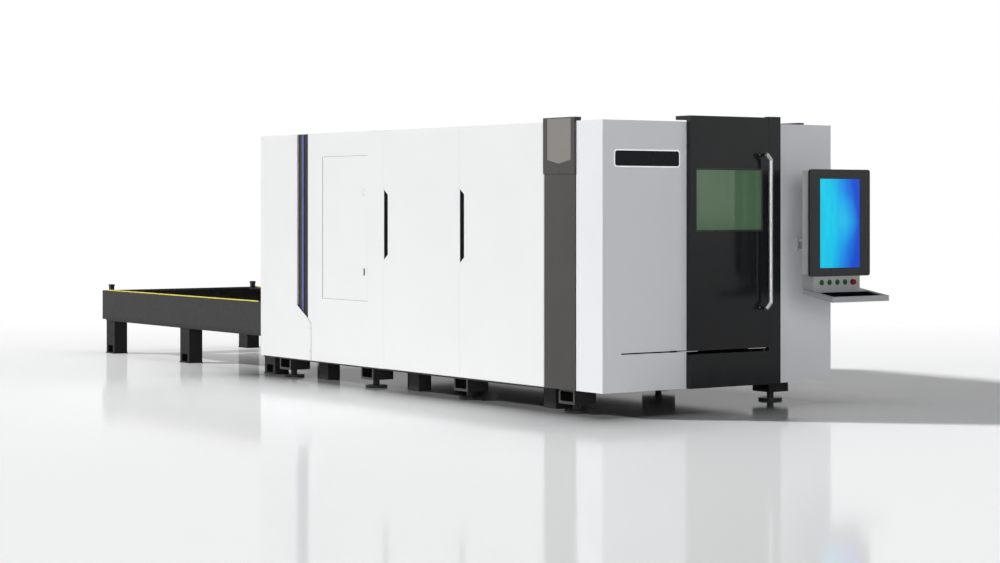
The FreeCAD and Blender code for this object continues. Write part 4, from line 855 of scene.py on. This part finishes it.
def nearness(nodes, links, low, high, reach):
    """1 on the floor below a box, and less by a factor of e over each reach outside it."""
    middle, half = (low + high) / 2, (high - low) / 2
    source = object_point(nodes)
    for operation, other in (("SUBTRACT", (middle.x, middle.y, 0)), ("ABSOLUTE", (0, 0, 0)),
                             ("SUBTRACT", (half.x, half.y, 0)), ("MAXIMUM", (0, 0, 0)),
                             ("LENGTH", (0, 0, 0))):
        source = vector_step(nodes, links, operation, source, other)
    return calculate(nodes, links, "POWER", math.exp(-1 / reach), source)


def floor_material():
    """Pale glossy paint with a painted shadow close to the object, that fades into white far
    behind it.
    """
    gloss_share, gloss_roughness = 0.24, 0.09
    fade_direction, fade_start, fade_end = (0.575, 0.818, 0), 1, 9
    made, nodes, links, shader = new_material("studio_floor")
    nodes.remove(shader)
    rays = nodes.new("ShaderNodeLightPath").outputs
    patchy = remap(nodes, links, noise(nodes, links, 0.35, 2.0, 0.5), 0, 1)
    bounced = mixed_colours(nodes, links, patchy, (0.955, 0.958, 0.962),
                            (0.965, 0.967, 0.970))
    seen = mixed_colours(nodes, links, patchy, (1.80, 1.805, 1.81), (1.83, 1.835, 1.84))
    cell = place(0, 0, 0), place(WIDTH, LENGTH, 0)
    # Painted shadow: to the camera the floor darkens close to the cell and to the table
    for box, reach, depth in ((cell, 0.75, 0.85), (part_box("table_frame"), 0.35, 0.35)):
        near = nearness(nodes, links, *box, reach)
        seen = dimmed(nodes, links, seen,
                      calculate(nodes, links, "MULTIPLY_ADD", near, -depth, 1))
    matt = nodes.new("ShaderNodeBsdfDiffuse")
    links.new(mixed_colours(nodes, links, rays["Is Camera Ray"], bounced, seen),
              matt.inputs["Color"])
    polish = nodes.new("ShaderNodeBsdfGlossy")
    polish.inputs["Color"].default_value = WHITE
    polish.inputs["Roughness"].default_value = gloss_roughness
    polished = mixed_shaders(nodes, links, gloss_share, matt.outputs["BSDF"],
                             polish.outputs["BSDF"])
    background = nodes.new("ShaderNodeEmission")
    background.inputs["Color"].default_value = WHITE
    behind = vector_step(nodes, links, "DOT_PRODUCT", object_point(nodes), fade_direction)
    fade = calculate(nodes, links, "MULTIPLY",
                     remap(nodes, links, behind, 0, 1, fade_start, fade_end),
                     calculate(nodes, links, "MAXIMUM", rays["Is Camera Ray"],
                               rays["Is Glossy Ray"]))
    links.new(mixed_shaders(nodes, links, fade, polished, background.outputs["Emission"]),
              nodes["Material Output"].inputs["Surface"])
    return made


def floor():
    """Wide floor, a millimetre below the feet."""
    mesh = bmesh.new()
    bmesh.ops.create_grid(mesh, x_segments=8, y_segments=8, size=150)
    data = bpy.data.meshes.new("studio_floor")
    mesh.to_mesh(data)
    mesh.free()
    data.materials.append(floor_material())
    plane = add_object("studio_floor", data)
    plane.location = (0, 0, -0.001)


def world():
    """White to the camera, in reflections and through glass; a soft fill for the rest."""
    made = bpy.data.worlds.new("studio")
    bpy.context.scene.world = made
    made.use_nodes = True
    nodes, links = made.node_tree.nodes, made.node_tree.links
    nodes.clear()
    fill = nodes.new("ShaderNodeBackground")
    fill.inputs["Color"].default_value = (0.94, 0.97, 1.0, 1)
    fill.inputs["Strength"].default_value = 0.04
    white = nodes.new("ShaderNodeBackground")
    white.inputs["Color"].default_value = WHITE
    rays = nodes.new("ShaderNodeLightPath").outputs
    seen = rays["Is Camera Ray"]
    for other in ("Is Glossy Ray", "Is Transmission Ray"):
        seen = calculate(nodes, links, "MAXIMUM", seen, rays[other])
    output = nodes.new("ShaderNodeOutputWorld")
    links.new(mixed_shaders(nodes, links, seen, fill.outputs["Background"],
                            white.outputs["Background"]), output.inputs["Surface"])


def sun(name, source, strength, spread):
    """Parallel light from the source direction, with a spread in degrees."""
    data = bpy.data.lights.new(name, "SUN")
    data.energy = strength
    data.angle = math.radians(spread)
    made = add_object(name, data)
    made.rotation_euler = Vector(source).to_track_quat("Z", "Y").to_euler()


def camera():
    """Level camera at the photograph's place, fitted to the cell's vanishing points."""
    data = bpy.data.cameras.new("camera")
    data.sensor_width = 36
    data.lens = 80.17
    data.shift_y = -0.0784
    data.clip_end = 400
    made = add_object("camera", data)
    made.location = (-11.183, -16.9985, 1.5836)
    made.rotation_euler = (math.radians(90), 0, math.radians(-35.119))
    bpy.context.scene.camera = made


floor()
world()
sun("key", source=(-0.62, 0.62, 0.50), strength=2.4, spread=5)
sun("front_fill", source=(-0.50, -0.86, 0.05), strength=1.38, spread=30)
camera()
bpy.context.scene.view_settings.view_transform = "Standard"
